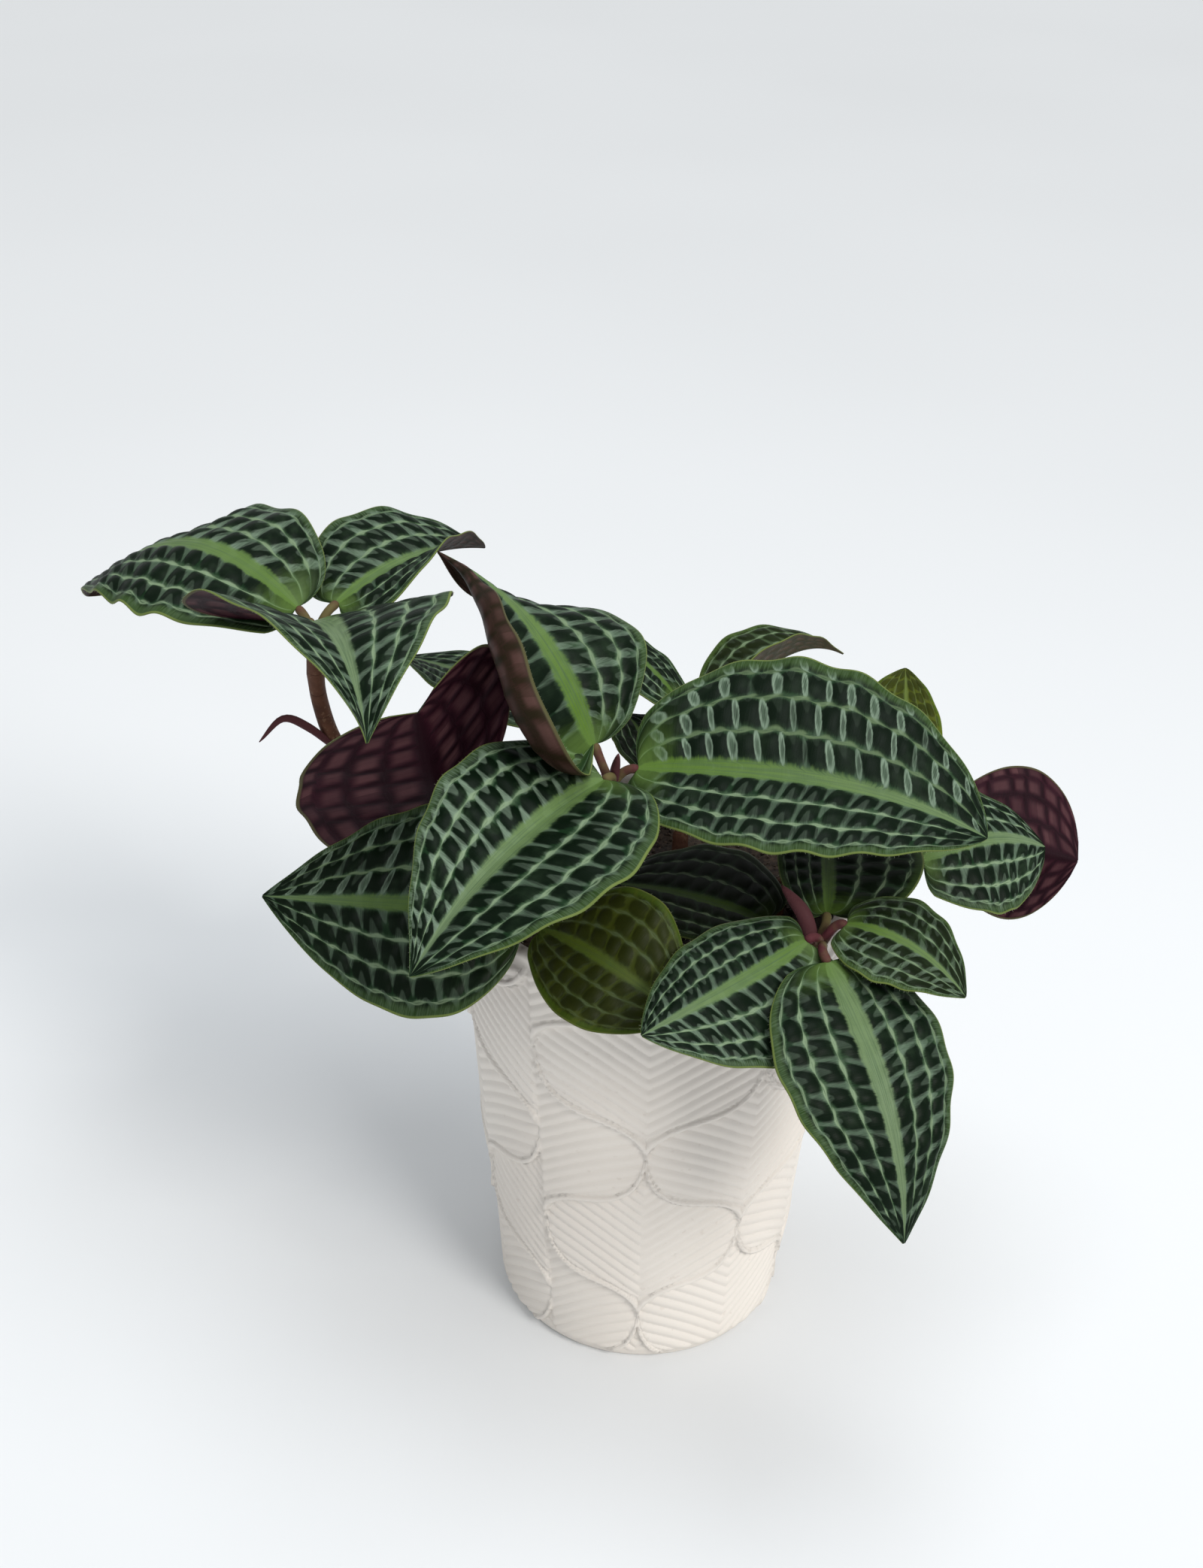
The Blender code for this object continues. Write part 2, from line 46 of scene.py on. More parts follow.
class Num:  # a number in a node tree, so that node maths is written as plain arithmetic
    def __init__(self, graph, socket):
        self.graph, self.socket = graph, socket

    def math(self, operation, *values):
        node = self.graph.add("ShaderNodeMath", {"operation": operation}, dict(enumerate(values)))
        return Num(self.graph, node.outputs[0])

    def __add__(self, other): return self.math("ADD", self, other)
    def __radd__(self, other): return self.math("ADD", other, self)
    def __sub__(self, other): return self.math("SUBTRACT", self, other)
    def __rsub__(self, other): return self.math("SUBTRACT", other, self)
    def __mul__(self, other): return self.math("MULTIPLY", self, other)
    def __rmul__(self, other): return self.math("MULTIPLY", other, self)
    def __truediv__(self, other): return self.math("DIVIDE", self, other)
    def __rtruediv__(self, other): return self.math("DIVIDE", other, self)
    def __pow__(self, other): return self.math("POWER", self, other)
    def __neg__(self): return self.math("MULTIPLY", self, -1.0)
    def __abs__(self): return self.math("ABSOLUTE", self)
    def __gt__(self, other): return self.math("GREATER_THAN", self, other)
    def __lt__(self, other): return self.math("LESS_THAN", self, other)

    def sin(self): return self.math("SINE", self)
    def floor(self): return self.math("FLOOR", self)
    def wrap(self, span): return self.math("FLOORED_MODULO", self, span)
    def atLeast(self, low): return self.math("MAXIMUM", self, low)
    def atMost(self, high): return self.math("MINIMUM", self, high)
    def clip(self): return self.atLeast(0.0).atMost(1.0)

    def step(self, low, high):  # 0 below low, 1 above high, soft between; low over high turns it round
        node = self.graph.add(
            "ShaderNodeMapRange", {"interpolation_type": "SMOOTHSTEP"},
            {"Value": self, "From Min": low, "From Max": high},
        )
        return Num(self.graph, node.outputs["Result"])


class Graph:  # a shader or geometry tree
    def __init__(self, tree):
        self.tree = tree

    def add(self, kind, settings=None, sockets=None):
        node = self.tree.nodes.new(kind)
        for name, value in (settings or {}).items():
            if name == "stops":
                ramp = node.color_ramp
                while len(ramp.elements) < len(value):
                    ramp.elements.new(1.0)
                for element, (place, colour) in zip(ramp.elements, value):
                    element.position, element.color = place, (*colour, 1.0)
            else:
                setattr(node, name, value)
        for name, value in (sockets or {}).items():
            value = value.socket if isinstance(value, Num) else value
            if isinstance(value, bpy.types.NodeSocket):
                self.tree.links.new(value, node.inputs[name])
            else:
                node.inputs[name].default_value = value
        return node

    def number(self, kind, output, settings=None, sockets=None):
        return Num(self, self.add(kind, settings, sockets).outputs[output])

    def attribute(self, name):
        return self.number("ShaderNodeAttribute", "Fac", {"attribute_name": name})

    def noise(self, place, scale, detail=2.0):
        return self.number("ShaderNodeTexNoise", "Fac", None, {"Vector": place, "Scale": scale, "Detail": detail})

    def point(self, x, y, z):
        return self.add("ShaderNodeCombineXYZ", None, {"X": x, "Y": y, "Z": z}).outputs["Vector"]

    def colours(self, amount, under, over):  # under where amount is 0, over where it is 1
        under, over = ((*c, 1.0) if isinstance(c, tuple) else c for c in (under, over))
        return self.add(
            "ShaderNodeMix", {"data_type": "RGBA"}, {0: amount, 6: under, 7: over}
        ).outputs[2]


def newMaterial(name):
    made = bpy.data.materials.new(name)
    made.use_nodes = True
    made.node_tree.nodes.clear()
    return made, Graph(made.node_tree)


def finishMaterial(graph, colour, roughness, bump=None, bumpSize=0.0002, bumpStrength=0.5, specular=0.4):
    sockets = {"Base Color": colour, "Roughness": roughness}
    if bump is not None:
        sockets["Normal"] = graph.add(
            "ShaderNodeBump", None, {"Strength": bumpStrength, "Distance": bumpSize, "Height": bump}
        ).outputs["Normal"]
    sockets["Specular IOR Level"] = specular
    shader = graph.add("ShaderNodeBsdfPrincipled", None, sockets)
    graph.add("ShaderNodeOutputMaterial", None, {"Surface": shader.outputs[0]})


def newPiece(name, points, faces, material, attributes=None):  # points in millimetres
    mesh = bpy.data.meshes.new(name)
    mesh.from_pydata((np.asarray(points) * mm).tolist(), [], faces)
    mesh.materials.append(material)
    for key, values in (attributes or {}).items():
        mesh.attributes.new(key, "FLOAT", "POINT").data.foreach_set("value", np.asarray(values, np.float32))
    mesh.shade_smooth()
    piece = bpy.data.objects.new(name, mesh)
    bpy.context.scene.collection.objects.link(piece)
    return piece


def applied(source, name):  # the object as its modifiers leave it, as a plain mesh at the origin
    graph = bpy.context.evaluated_depsgraph_get()
    mesh = bpy.data.meshes.new_from_object(source.evaluated_get(graph))
    mesh.name = name
    bpy.data.objects.remove(source)
    piece = bpy.data.objects.new(name, mesh)
    bpy.context.scene.collection.objects.link(piece)
    return piece


def stand(piece, slot, *nodes):
    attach(piece, "root")
    if nodes:
        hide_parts(*nodes)


def smoothStep(values, low, high):
    share = np.clip((values - low) / (high - low), 0, 1)
    return share * share * (3 - 2 * share)


def unit(vectors):
    return vectors / np.linalg.norm(vectors, axis=-1, keepdims=True)


camera = {
    "place": (0, -600, 562), "pitch": 30.2, "yaw": -1.9, "roll": 1.8,
    "lens": 47.46, "sensor": 36,
}


def makeCamera():
    pitch, yaw, roll = (math.radians(camera[key]) for key in ("pitch", "yaw", "roll"))
    ahead = Vector((math.sin(yaw) * math.cos(pitch), math.cos(yaw) * math.cos(pitch), -math.sin(pitch)))
    right = Vector((math.cos(yaw), -math.sin(yaw), 0))
    up = right.cross(ahead)
    turnedRight = right * math.cos(roll) + up * math.sin(roll)
    turnedUp = up * math.cos(roll) - right * math.sin(roll)
    made = bpy.data.objects.new("camera", bpy.data.cameras.new("camera"))
    made.data.lens, made.data.sensor_width = camera["lens"], camera["sensor"]
    made.data.clip_start = 0.01
    turn = Matrix((turnedRight, turnedUp, -ahead)).transposed().to_4x4()
    made.matrix_world = Matrix.Translation(Vector(camera["place"]) * mm) @ turn
    bpy.context.scene.collection.objects.link(made)
    bpy.context.scene.camera = made


planter = {
    "height": 180, "footRadius": 50, "flare": 0.105, "wall": 5, "floor": 7, "footRound": 1.8, "lip": 2,
    "columns": 10, "frontColumn": 0.8, "firstSeam": -35.2, "secondSeam": 144.8,
    "drop": 80, "firstTip": 20, "rise": 38, "ribRise": 21,
    "overlap": 1.3, "ribPitch": 5.0, "ribHeight": 0.75, "edgeBand": 3.2, "edgeHeight": 0.4,
    "sides": 400, "rows": 244,
}


def edgeClimb(share):  # how far a moulded leaf's lower edge has climbed: an S, steep by its column and by the next
    turn = (2 * share - 1).math("ABSOLUTE", 2 * share - 1).atMost(1.0)
    bend = 0.25 * turn + 0.75 * (1 - (1 - turn ** 3.0).atLeast(0.0) ** 0.5)
    return planter["rise"] * (0.5 + 0.5 * bend * (2 * (share > 0.5) - 1))


def wallRelief(azimuth, height):  # how far the moulded leaves stand out, with their ribs and edge bands
    p = planter
    turn = (azimuth - p["frontColumn"]) / (360 / p["columns"])
    column = turn.floor()
    share = turn - column
    past = (azimuth - p["firstSeam"]).wrap(360.0) < (p["secondSeam"] - p["firstSeam"])
    odd = (column + 1 - past).wrap(2.0)
    ownClimb, nextClimb = edgeClimb(share), edgeClimb(1 - share)
    above = (height - p["firstTip"] - odd * (p["drop"] / 2) - ownClimb).wrap(p["drop"])
    ownHeight = p["drop"] / 2 + nextClimb - ownClimb
    onOwn = above < ownHeight
    overEdge = above - ownHeight * (1 - onOwn)  # height over the lower edge of the leaf here
    span = onOwn * ownHeight + (1 - onOwn) * (p["drop"] - ownHeight)
    away = onOwn * share + (1 - onOwn) * (1 - share)  # 0 on the leaf's own column, 1 at its round end
    climb = onOwn * ownClimb + (1 - onOwn) * nextClimb
    # the edge is steep by both columns, so its band is measured square to it there
    steep = 1 + 2.0 * abs(2 * away - 1) ** 8.0
    fromEdge = overEdge / steep
    ribPlace = overEdge + climb - p["ribRise"] * away - 3.0 * (away * math.pi).sin()
    rib = 1 - abs((ribPlace / p["ribPitch"]).wrap(1.0) * 2 - 1) ** 2.5
    band = fromEdge.step(p["edgeBand"], p["edgeBand"] - 0.7)
    crisp = fromEdge.step(0.0, 0.9)  # the step at the lower edge is softened by the casting
    fall = (overEdge / span.atLeast(1.0)).clip()
    return (
        p["overlap"] * (1 - fall) * crisp
        + p["ribHeight"] * rib * fromEdge.step(p["edgeBand"] + 0.2, p["edgeBand"] + 0.8)
        + (p["ribHeight"] + p["edgeHeight"]) * band * crisp * fromEdge.step(p["edgeBand"] + 0.4, p["edgeBand"] - 0.4)
    )


def makePlanter(material):
    p = planter
    tree = bpy.data.node_groups.new("planterWall", "GeometryNodeTree")
    for name, kind in (("Height", "Float"), ("Foot radius", "Float"), ("Flare", "Float"), ("Sides", "Int"), ("Rows", "Int")):
        tree.interface.new_socket(name, in_out="INPUT", socket_type="NodeSocket" + kind)
    tree.interface.new_socket("Geometry", in_out="OUTPUT", socket_type="NodeSocketGeometry")
    g = Graph(tree)
    given = g.add("NodeGroupInput").outputs
    height, footRadius, flare = (Num(g, given[name]) for name in ("Height", "Foot radius", "Flare"))
    grid = g.add(
        "GeometryNodeMeshGrid", None,
        {"Size X": 1.0, "Size Y": 1.0, "Vertices X": given["Sides"], "Vertices Y": given["Rows"]},
    )
    place = g.add("ShaderNodeSeparateXYZ", None, {"Vector": g.add("GeometryNodeInputPosition").outputs[0]})
    azimuth = Num(g, place.outputs["X"]) * 360.0
    # one share runs from the middle of the underside up the wall, over the rim and down inside
    share = Num(g, place.outputs["Y"]) + 0.5
    footRound, lip, floor, wall = p["footRound"], p["lip"], p["floor"], p["wall"]
    under, foot = (share / 0.02).clip(), ((share - 0.02) / 0.01).clip()
    outer, overRim = ((share - 0.03) / 0.86).clip(), ((share - 0.89) / 0.04).clip()
    inside, acrossFloor = ((share - 0.93) / 0.05).clip(), ((share - 0.98) / 0.02).clip()
    wallHeight = footRound + (height - lip - footRound) * outer
    onWall = wallHeight.step(footRound, 2.5 * footRound) * wallHeight.step(height - 1.5 * lip, height - 4 * lip)
    outerRadius = footRadius + flare * wallHeight + wallRelief(azimuth, wallHeight) * onWall
    footTurn = foot * (math.pi / 2)
    footRadii = (footRadius - footRound) * under + (footRound + flare * footRound) * footTurn.sin()
    footHeight = footRound * (1 - footTurn.math("COSINE", footTurn))
    rimTurn = overRim * math.pi
    rimRadius = footRadius + flare * (height - lip) - wall / 2 + (wall / 2) * rimTurn.math("COSINE", rimTurn)
    rimHeight = height - lip + lip * rimTurn.sin()
    innerHeight = height - lip - (height - lip - floor) * inside
    innerRadius = (footRadius + flare * innerHeight - wall) * (1 - acrossFloor)
    onOuter, onRim, onInner = (share > 0.03) * (share < 0.89), (share > 0.89) * (share < 0.93), share > 0.93
    onFoot = 1 - onOuter - onRim - onInner
    radius = onFoot * footRadii + onOuter * outerRadius + onRim * rimRadius + onInner * innerRadius
    level = onFoot * footHeight + onOuter * wallHeight + onRim * rimHeight + onInner * innerHeight
    angle = azimuth * (math.pi / 180)
    placed = g.add(
        "GeometryNodeSetPosition", None,
        {"Geometry": grid.outputs["Mesh"], "Position": g.point(radius * angle.sin() * mm, -(radius * angle.math("COSINE", angle)) * mm, level * mm)},
    )
    merged = g.add("GeometryNodeMergeByDistance", None, {"Geometry": placed.outputs[0], "Distance": 0.00002})
    smooth = g.add("GeometryNodeSetShadeSmooth", None, {"Geometry": merged.outputs[0]})
    dressed = g.add("GeometryNodeSetMaterial", None, {"Geometry": smooth.outputs[0], "Material": material})
    g.add("NodeGroupOutput", None, {0: dressed.outputs[0]})
    source = bpy.data.objects.new("planterSource", bpy.data.meshes.new("planterSource"))
    bpy.context.scene.collection.objects.link(source)
    modifier = source.modifiers.new("wall", "NODES")
    modifier.node_group = tree
    sizes = {"Height": p["height"], "Foot radius": p["footRadius"], "Flare": p["flare"], "Sides": p["sides"] + 1, "Rows": p["rows"] + 1}
    for item in tree.interface.items_tree:
        if item.name in sizes:
            value = sizes[item.name]
            modifier[item.identifier] = int(value) if item.socket_type == "NodeSocketInt" else float(value)
    piece = applied(source, "planter")
    return piece


def planterMaterial():
    made, g = newMaterial("creamCeramic")
    place = g.add("ShaderNodeTexCoord").outputs["Object"]
    cloud, grain, speck = g.noise(place, 14.0, 3.0), g.noise(place, 900.0, 4.0), g.noise(place, 260.0, 2.0)
    spot = g.add("ShaderNodeSeparateXYZ", None, {"Vector": place}).outputs
    x, y, height = (Num(g, spot[name]) for name in "XYZ")
    crisp = wallRelief(x.math("ARCTAN2", x, -y) * (180 / math.pi), height / mm)  # sharpens the mesh's relief
    onWall = (height / mm).step(3.0, 6.0) * (height / mm).step(176.0, 172.0)
    colour = g.colours(cloud.step(0.3, 0.7), (0.74, 0.685, 0.625), (0.80, 0.75, 0.69))
    colour = g.colours(speck.step(0.68, 0.74) * 0.18, colour, (0.50, 0.42, 0.35))
    finishMaterial(g, colour, 0.66 + 0.12 * cloud, crisp * onWall + 0.05 * grain + 0.03 * speck, 0.0004, 0.5, 0.25)
    return made


soil = {
    "top": 164, "radius": 61.8, "floor": 7.5, "bottomRadius": 45.2, "rings": 46, "sides": 130,
    "lumps": 1.6, "crumbDensity": 90000.0, "crumbSmall": 0.5, "crumbLarge": 1.7, "crumbReach": 58.5, "seed": 7,
}


def makeSoil(material, crumbMaterial):
    rng = np.random.default_rng(soil["seed"])
    waves = rng.normal(0, 1, (40, 2)) / rng.uniform(3, 16, (40, 1))
    shifts, sizes = rng.uniform(0, 6.28, 40), rng.uniform(0.1, 0.32, 40)
    rings, sides = soil["rings"], soil["sides"]
    points, faces = [(0.0, 0.0, soil["top"])], []
    turn = np.arange(sides) * 2 * math.pi / sides
    for ring in range(1, rings + 1):
        radius = soil["radius"] * ring / rings
        x, y = radius * np.cos(turn), radius * np.sin(turn)
        lump = (sizes * np.sin(x[:, None] * waves[:, 0] + y[:, None] * waves[:, 1] + shifts)).sum(axis=1)
        z = soil["top"] + soil["lumps"] * lump * (1 - 0.8 * (ring / rings) ** 6) - 0.5
        points += list(zip(x, y, z))
    points += [(soil["bottomRadius"] * math.cos(a), soil["bottomRadius"] * math.sin(a), soil["floor"]) for a in turn]
    points.append((0.0, 0.0, soil["floor"]))
    for side in range(sides):
        after = (side + 1) % sides
        faces.append((0, 1 + side, 1 + after))
        for ring in range(rings):
            low, high = 1 + ring * sides, 1 + (ring + 1) * sides
            faces.append((low + side, high + side, high + after, low + after))
        faces.append((len(points) - 1, 1 + rings * sides + after, 1 + rings * sides + side))
    piece = newPiece("pottingSoil", points, faces, material)

    tree = bpy.data.node_groups.new("soilCrumbs", "GeometryNodeTree")
    # the mesh input stands first, because a modifier hands its mesh only to a tree's first input
    tree.interface.new_socket("Soil", in_out="INPUT", socket_type="NodeSocketGeometry")
    for name in ("Density", "Smallest", "Largest"):
        tree.interface.new_socket(name, in_out="INPUT", socket_type="NodeSocketFloat")
    tree.interface.new_socket("Geometry", in_out="OUTPUT", socket_type="NodeSocketGeometry")
    g = Graph(tree)
    given = g.add("NodeGroupInput").outputs
    spot = g.add("ShaderNodeSeparateXYZ", None, {"Vector": g.add("GeometryNodeInputPosition").outputs[0]}).outputs
    x, y, height = (Num(g, spot[name]) for name in "XYZ")
    # a face's own height, because by its corners the tall faces of the side would take crumbs too
    faceHeight = g.number(
        "GeometryNodeFieldOnDomain", "Value", {"data_type": "FLOAT", "domain": "FACE"}, {"Value": height},
    )
    onTop = (faceHeight > (soil["top"] - 4) * mm) * (x * x + y * y < (soil["crumbReach"] * mm) ** 2)
    spots = g.add(
        "GeometryNodeDistributePointsOnFaces", None,
        {"Mesh": given["Soil"], "Density": given["Density"], "Seed": soil["seed"], "Selection": onTop},
    )
    crumb = g.add("GeometryNodeMeshIcoSphere", None, {"Radius": 0.001, "Subdivisions": 1})
    stretch = g.add("FunctionNodeRandomValue", {"data_type": "FLOAT_VECTOR"}, {"Min": (0.5, 0.5, 0.4), "Max": (1.3, 1.0, 0.8), "Seed": 3})
    size = g.number("FunctionNodeRandomValue", 1, {"data_type": "FLOAT"}, {2: given["Smallest"], 3: given["Largest"], "Seed": 5})
    scale = g.add("ShaderNodeVectorMath", {"operation": "SCALE"}, {0: stretch.outputs[0], "Scale": size})
    turned = g.add("FunctionNodeRandomValue", {"data_type": "FLOAT_VECTOR"}, {"Max": (6.28, 6.28, 6.28), "Seed": 9})
    placed = g.add(
        "GeometryNodeInstanceOnPoints", None,
        {"Points": spots.outputs["Points"], "Instance": crumb.outputs["Mesh"], "Rotation": turned.outputs[0], "Scale": scale.outputs[0]},
    )
    real = g.add("GeometryNodeRealizeInstances", None, {"Geometry": placed.outputs[0]})
    dressed = g.add("GeometryNodeSetMaterial", None, {"Geometry": real.outputs[0], "Material": crumbMaterial})
    g.add("NodeGroupOutput", None, {0: dressed.outputs[0]})
    source = bpy.data.objects.new("crumbSource", piece.data.copy())
    bpy.context.scene.collection.objects.link(source)
    modifier = source.modifiers.new("crumbs", "NODES")
    modifier.node_group = tree
    sizes = {"Density": soil["crumbDensity"], "Smallest": soil["crumbSmall"], "Largest": soil["crumbLarge"]}
    for item in tree.interface.items_tree:
        if item.name in sizes:
            modifier[item.identifier] = float(sizes[item.name])
    return piece, applied(source, "soilCrumbs")


def soilMaterial(name, dark, light):
    made, g = newMaterial(name)
    place = g.add("ShaderNodeTexCoord").outputs["Object"]
    patch, grain = g.noise(place, 120.0, 3.0), g.noise(place, 700.0, 4.0)
    colour = g.colours((patch * 0.5 + grain * 0.6).step(0.4, 0.75), dark, light)
    colour = g.colours(g.noise(place, 330.0, 1.0).step(0.70, 0.74), colour, (0.16, 0.11, 0.07))  # bits of bark
    finishMaterial(g, colour, 0.85 + 0.1 * grain, grain, 0.0006, 0.8)
    return made


blades = {
    "start": 1.4, "thickness": 0.6, "rim": 0.22, "full": 0.5, "taper": 0.9, "lobe": 7.0,
    "crown": 0.7, "pucker": 1.4, "largePitch": 8.2, "smallPitch": 6.2,
    "large": (120, 100), "small": (84, 50),
}

# base and tip: ends of the midrib. rise and sway: how far its thirds stand off the straight line, up and
# to the right. roll: right side down. wide: left and right half widths. left, right: slope of that half at
# the midrib and how much more it turns by its margin. wave: height, number and start of the margin's waves.
# look: how silvery each half is, partly the leaf's own silver and partly painted sheen where that half faces the light;
# how much it glints, as painted highlights; how pale the midrib; how yellow the blade; and how much painted shade
# darkens it.
leaves = {}


def leaf(name, **settings):
    leaves["leaf_" + name] = settings


leaf("a1", size="large", base=(-124, 22, 262), tip=(-208, 64, 243), rise=(33, 25), sway=(0, 0), roll=0,
     wide=(36, 36), left=((-5, -14, 8), -10), right=((12, 0, -45), (0, -15, -40)), lobe=(7, 2), wave=(1.5, 5, 0),
     look={"silver": (0.35, 0.75), "glint": (0.0, 0.35), "pale": 0.3, "yellow": 0.1, "dark": 0.0})
leaf("a2", size="large", base=(-112, 27, 262), tip=(-68, 88, 258), rise=(8, 8), sway=(0, 0), roll=20,
     wide=(30, 18), left=((-30, 4, 3), -10), right=((-10, 45, 55), (0, 30, 30)), lobe=(2, 7), wave=(1.0, 4, 0),
     look={"silver": (0.65, 0.3), "glint": (0.3, 0.0), "pale": 0.35, "yellow": 0.15, "dark": 0.0})
leaf("a3", size="large", base=(-118, 12, 262), tip=(-90, -53, 254), rise=(14, 26), sway=(0, 0), roll=(0, 10, 20),
     wide=(44, 44), left=(4, -8), right=((10, 36, 30), 0), full=0.3, taper=(1.05, 1.6), wave=(1.0, 4, 0),
     look={"silver": (0.6, 0.5), "glint": (0.2, 0.2), "pale": 0.8, "yellow": 0.0, "dark": 0.0})
leaf("b1", size="large", base=(-22, -12, 234), tip=(-78, 33, 280), rise=(16, 10), sway=(0, 8), roll=0, wide=(50, 36),
     left=(0, (150, 190, 270)), right=((5, -5, -110), (-10, -20, -30)), crease=3, full=(0.3, 0.8), taper=1.2, wave=(1.0, 4, 0),
     look={"silver": (0.4, 0.55), "glint": (0.0, 0.35), "pale": 0.15, "yellow": 0.15, "dark": 0.0})
leaf("b2", size="large", base=(-18, -27, 230), tip=(-72, -98, 200), rise=(10, 14), sway=(0, 0), roll=0,
     wide=(43, 35), left=(10, -10), right=(20, -10), full=(0.6, 0.5), taper=(0.9, 1.15), wave=(1.0, 5, 0),
     look={"silver": (0.45, 1.0), "glint": (0.0, 0.0), "pale": 0.45, "yellow": 0.15, "dark": 0.0})
leaf("b3", size="large", base=(-8, -19, 230), tip=(103, -42, 224), rise=(8, 14), sway=(0, 0), roll=4,
     wide=(46, 31), left=(28, -10), right=(-12, -10), taper=0.75, wave=(1.0, 6, 0),
     look={"silver": (0.35, 0.35), "glint": (1.0, 0.0), "pale": 0.2, "yellow": 0.15, "dark": 0.0})
leaf("b4", size="small", base=(4, 66, 212), tip=(-34, 96, 222), rise=(8, 8), sway=(0, 0), roll=0,
     wide=(18, 9), left=(10, -10), right=(10, -10), wave=(0.5, 4, 0),
     look={"silver": (0.4, 0.4), "glint": (0.0, 0.0), "pale": 0.2, "yellow": 0.0, "dark": 0.1})
leaf("c1", size="large", base=(-72, 4, 184), tip=(-80, -12, 243), rise=(0, 0), sway=(0, 0), roll=0, lobe=(1, 16), sweep=(40, -6),
     wide=(34, 50), left=(50, 0), right=(-22, 0), full=(0.4, 0.3), taper=0.5, wave=(1.0, 4, 0),
     look={"silver": (0.4, 0.4), "glint": (0.0, 0.0), "pale": 0.3, "yellow": 0.0, "dark": 0.0})
leaf("c2", size="large", base=(-42, -44, 188), tip=(-130, -32, 182), rise=(2, 0), sway=(0, 0), roll=-35,
     wide=(38, 38), left=(0, -10), right=(0, -10), taper=1.0, lobe=(2, 4), wave=(1.0, 5, 0),
     look={"silver": (0.4, 0.6), "glint": (0.0, 0.7), "pale": 0.1, "yellow": 0.0, "dark": 0.2})
leaf("d1", size="small", base=(-36, -52, 188), tip=(10, -80, 177), rise=(12, 10), sway=(8, 8), roll=30,
     wide=(26, 22), left=(10, -10), right=(-10, 10), full=0.8, taper=0.8, wave=(0.5, 4, 0),
     look={"silver": (0.0, 0.0), "glint": (0.0, 0.1), "pale": 0.0, "yellow": 0.85, "dark": 0.5})
leaf("e1", size="small", base=(48, -64, 197), tip=(-2, -108, 190), rise=(-2, 0), sway=(0, 0), roll=0,
     wide=(30, 23), left=(-30, -10), right=(10, -10), wave=(0.5, 4, 0),
     look={"silver": (0.75, 0.5), "glint": (0.1, 0.1), "pale": 0.3, "yellow": 0.1, "dark": 0.0})
leaf("e2", size="large", base=(54, -72, 195), tip=(80, -125, 130), rise=(16, 20), sway=(0, 0), roll=0,
     wide=(28, 30), left=(-5, -10), right=(0, -10), taper=1.0, lobe=3, wave=(1.0, 5, 0),
     look={"silver": (0.55, 0.4), "glint": (0.2, 0.0), "pale": 0.75, "yellow": 0.1, "dark": 0.0})
leaf("e3", size="small", base=(60, -57, 199), tip=(97, -76, 187), rise=(8, 8), sway=(0, 0), roll=0,
     wide=(20, 19), left=(10, -10), right=(-10, -10), lobe=4, wave=(0.5, 4, 0),
     look={"silver": (0.3, 0.55), "glint": (0.1, 0.3), "pale": 0.2, "yellow": 0.3, "dark": 0.0})
leaf("e4", size="small", base=(55, -46, 195), tip=(56, 22, 196), rise=(6, 6), sway=(0, 0), roll=0,
     wide=(16, 32), left=(10, -10), right=(10, -10), wave=(0.5, 4, 0),
     look={"silver": (0.1, 0.1), "glint": (0.0, 0.0), "pale": 0.3, "yellow": 0.1, "dark": 0.5})
leaf("f1", size="small", base=(37, -30, 180), tip=(-18, -14, 182), rise=(4, 4), sway=(0, 0), roll=0,
     wide=(20, 30), left=(-5, -10), right=(10, -10), wave=(0.5, 4, 0),
     look={"silver": (0.05, 0.05), "glint": (0.0, 0.0), "pale": 0.0, "yellow": 0.0, "dark": 0.85})
leaf("g1", size="small", base=(88, -12, 196), tip=(133, 12, 189), rise=(8, 8), sway=(0, 0), roll=10,
     wide=(24, 26), left=(10, -10), right=(-30, -10), taper=0.6, wave=(0.5, 4, 0),
     look={"silver": (0.6, 0.6), "glint": (0.0, 0.0), "pale": 0.5, "yellow": 0.1, "dark": 0.0})
leaf("g2", size="small", base=(96, 16, 188), tip=(145, 12, 184), rise=(2, 2), sway=(0, 0), roll=-125,
     wide=(26, 31), left=(15, 10), right=(15, 10), full=0.8, taper=0.6, wave=(0.5, 4, 0),
     look={"silver": (0.3, 0.3), "glint": (0.0, 0.0), "pale": 0.3, "yellow": 0.0, "dark": 0.0})
leaf("g3", size="small", base=(84, 14, 206), tip=(85, 62, 230), rise=(6, 6), sway=(0, 0), roll=0,
     wide=(20, 12), left=(10, -10), right=(10, -10), wave=(0.5, 4, 0),
     look={"silver": (0.0, 0.0), "glint": (0.0, 0.0), "pale": 0.1, "yellow": 1.0, "dark": 0.0})
leaf("h1", size="small", base=(22, 76, 204), tip=(67, 112, 210), rise=(10, 16), sway=(0, 0), roll=0,
     wide=(24, 22), left=(10, -10), right=(60, 0), full=(0.5, 0.35), taper=(0.9, 1.6), wave=(0.5, 4, 0),
     look={"silver": (0.2, 0.2), "glint": (0.0, 0.0), "pale": 0.3, "yellow": 0.4, "dark": 0.0})
leaf("i1", size="small", base=(-38, 72, 198), tip=(-98, 92, 210), rise=(4, 4), sway=(0, 0), roll=0,
     wide=(26, 26), left=(10, -10), right=(0, -10), wave=(0.5, 4, 0),
     look={"silver": (0.4, 0.4), "glint": (0.0, 0.0), "pale": 0.4, "yellow": 0.0, "dark": 0.1})
leaf("k1", size="small", base=(-4, 48, 196), tip=(-14, 66, 204), rise=(3, 3), sway=(0, 0), roll=0,
     wide=(12, 12), left=(10, -10), right=(10, -10), wave=(0.5, 4, 0),
     look={"silver": (0.0, 0.0), "glint": (0.0, 0.0), "pale": 0.1, "yellow": 0.0, "dark": 0.7})


def along(values, share):  # one number, or three for base, middle and tip
    if np.isscalar(values):
        return np.full_like(share, float(values))
    base, middle, tip = values
    return base * (1 - share) * (1 - 2 * share) + 4 * middle * share * (1 - share) + tip * share * (2 * share - 1)


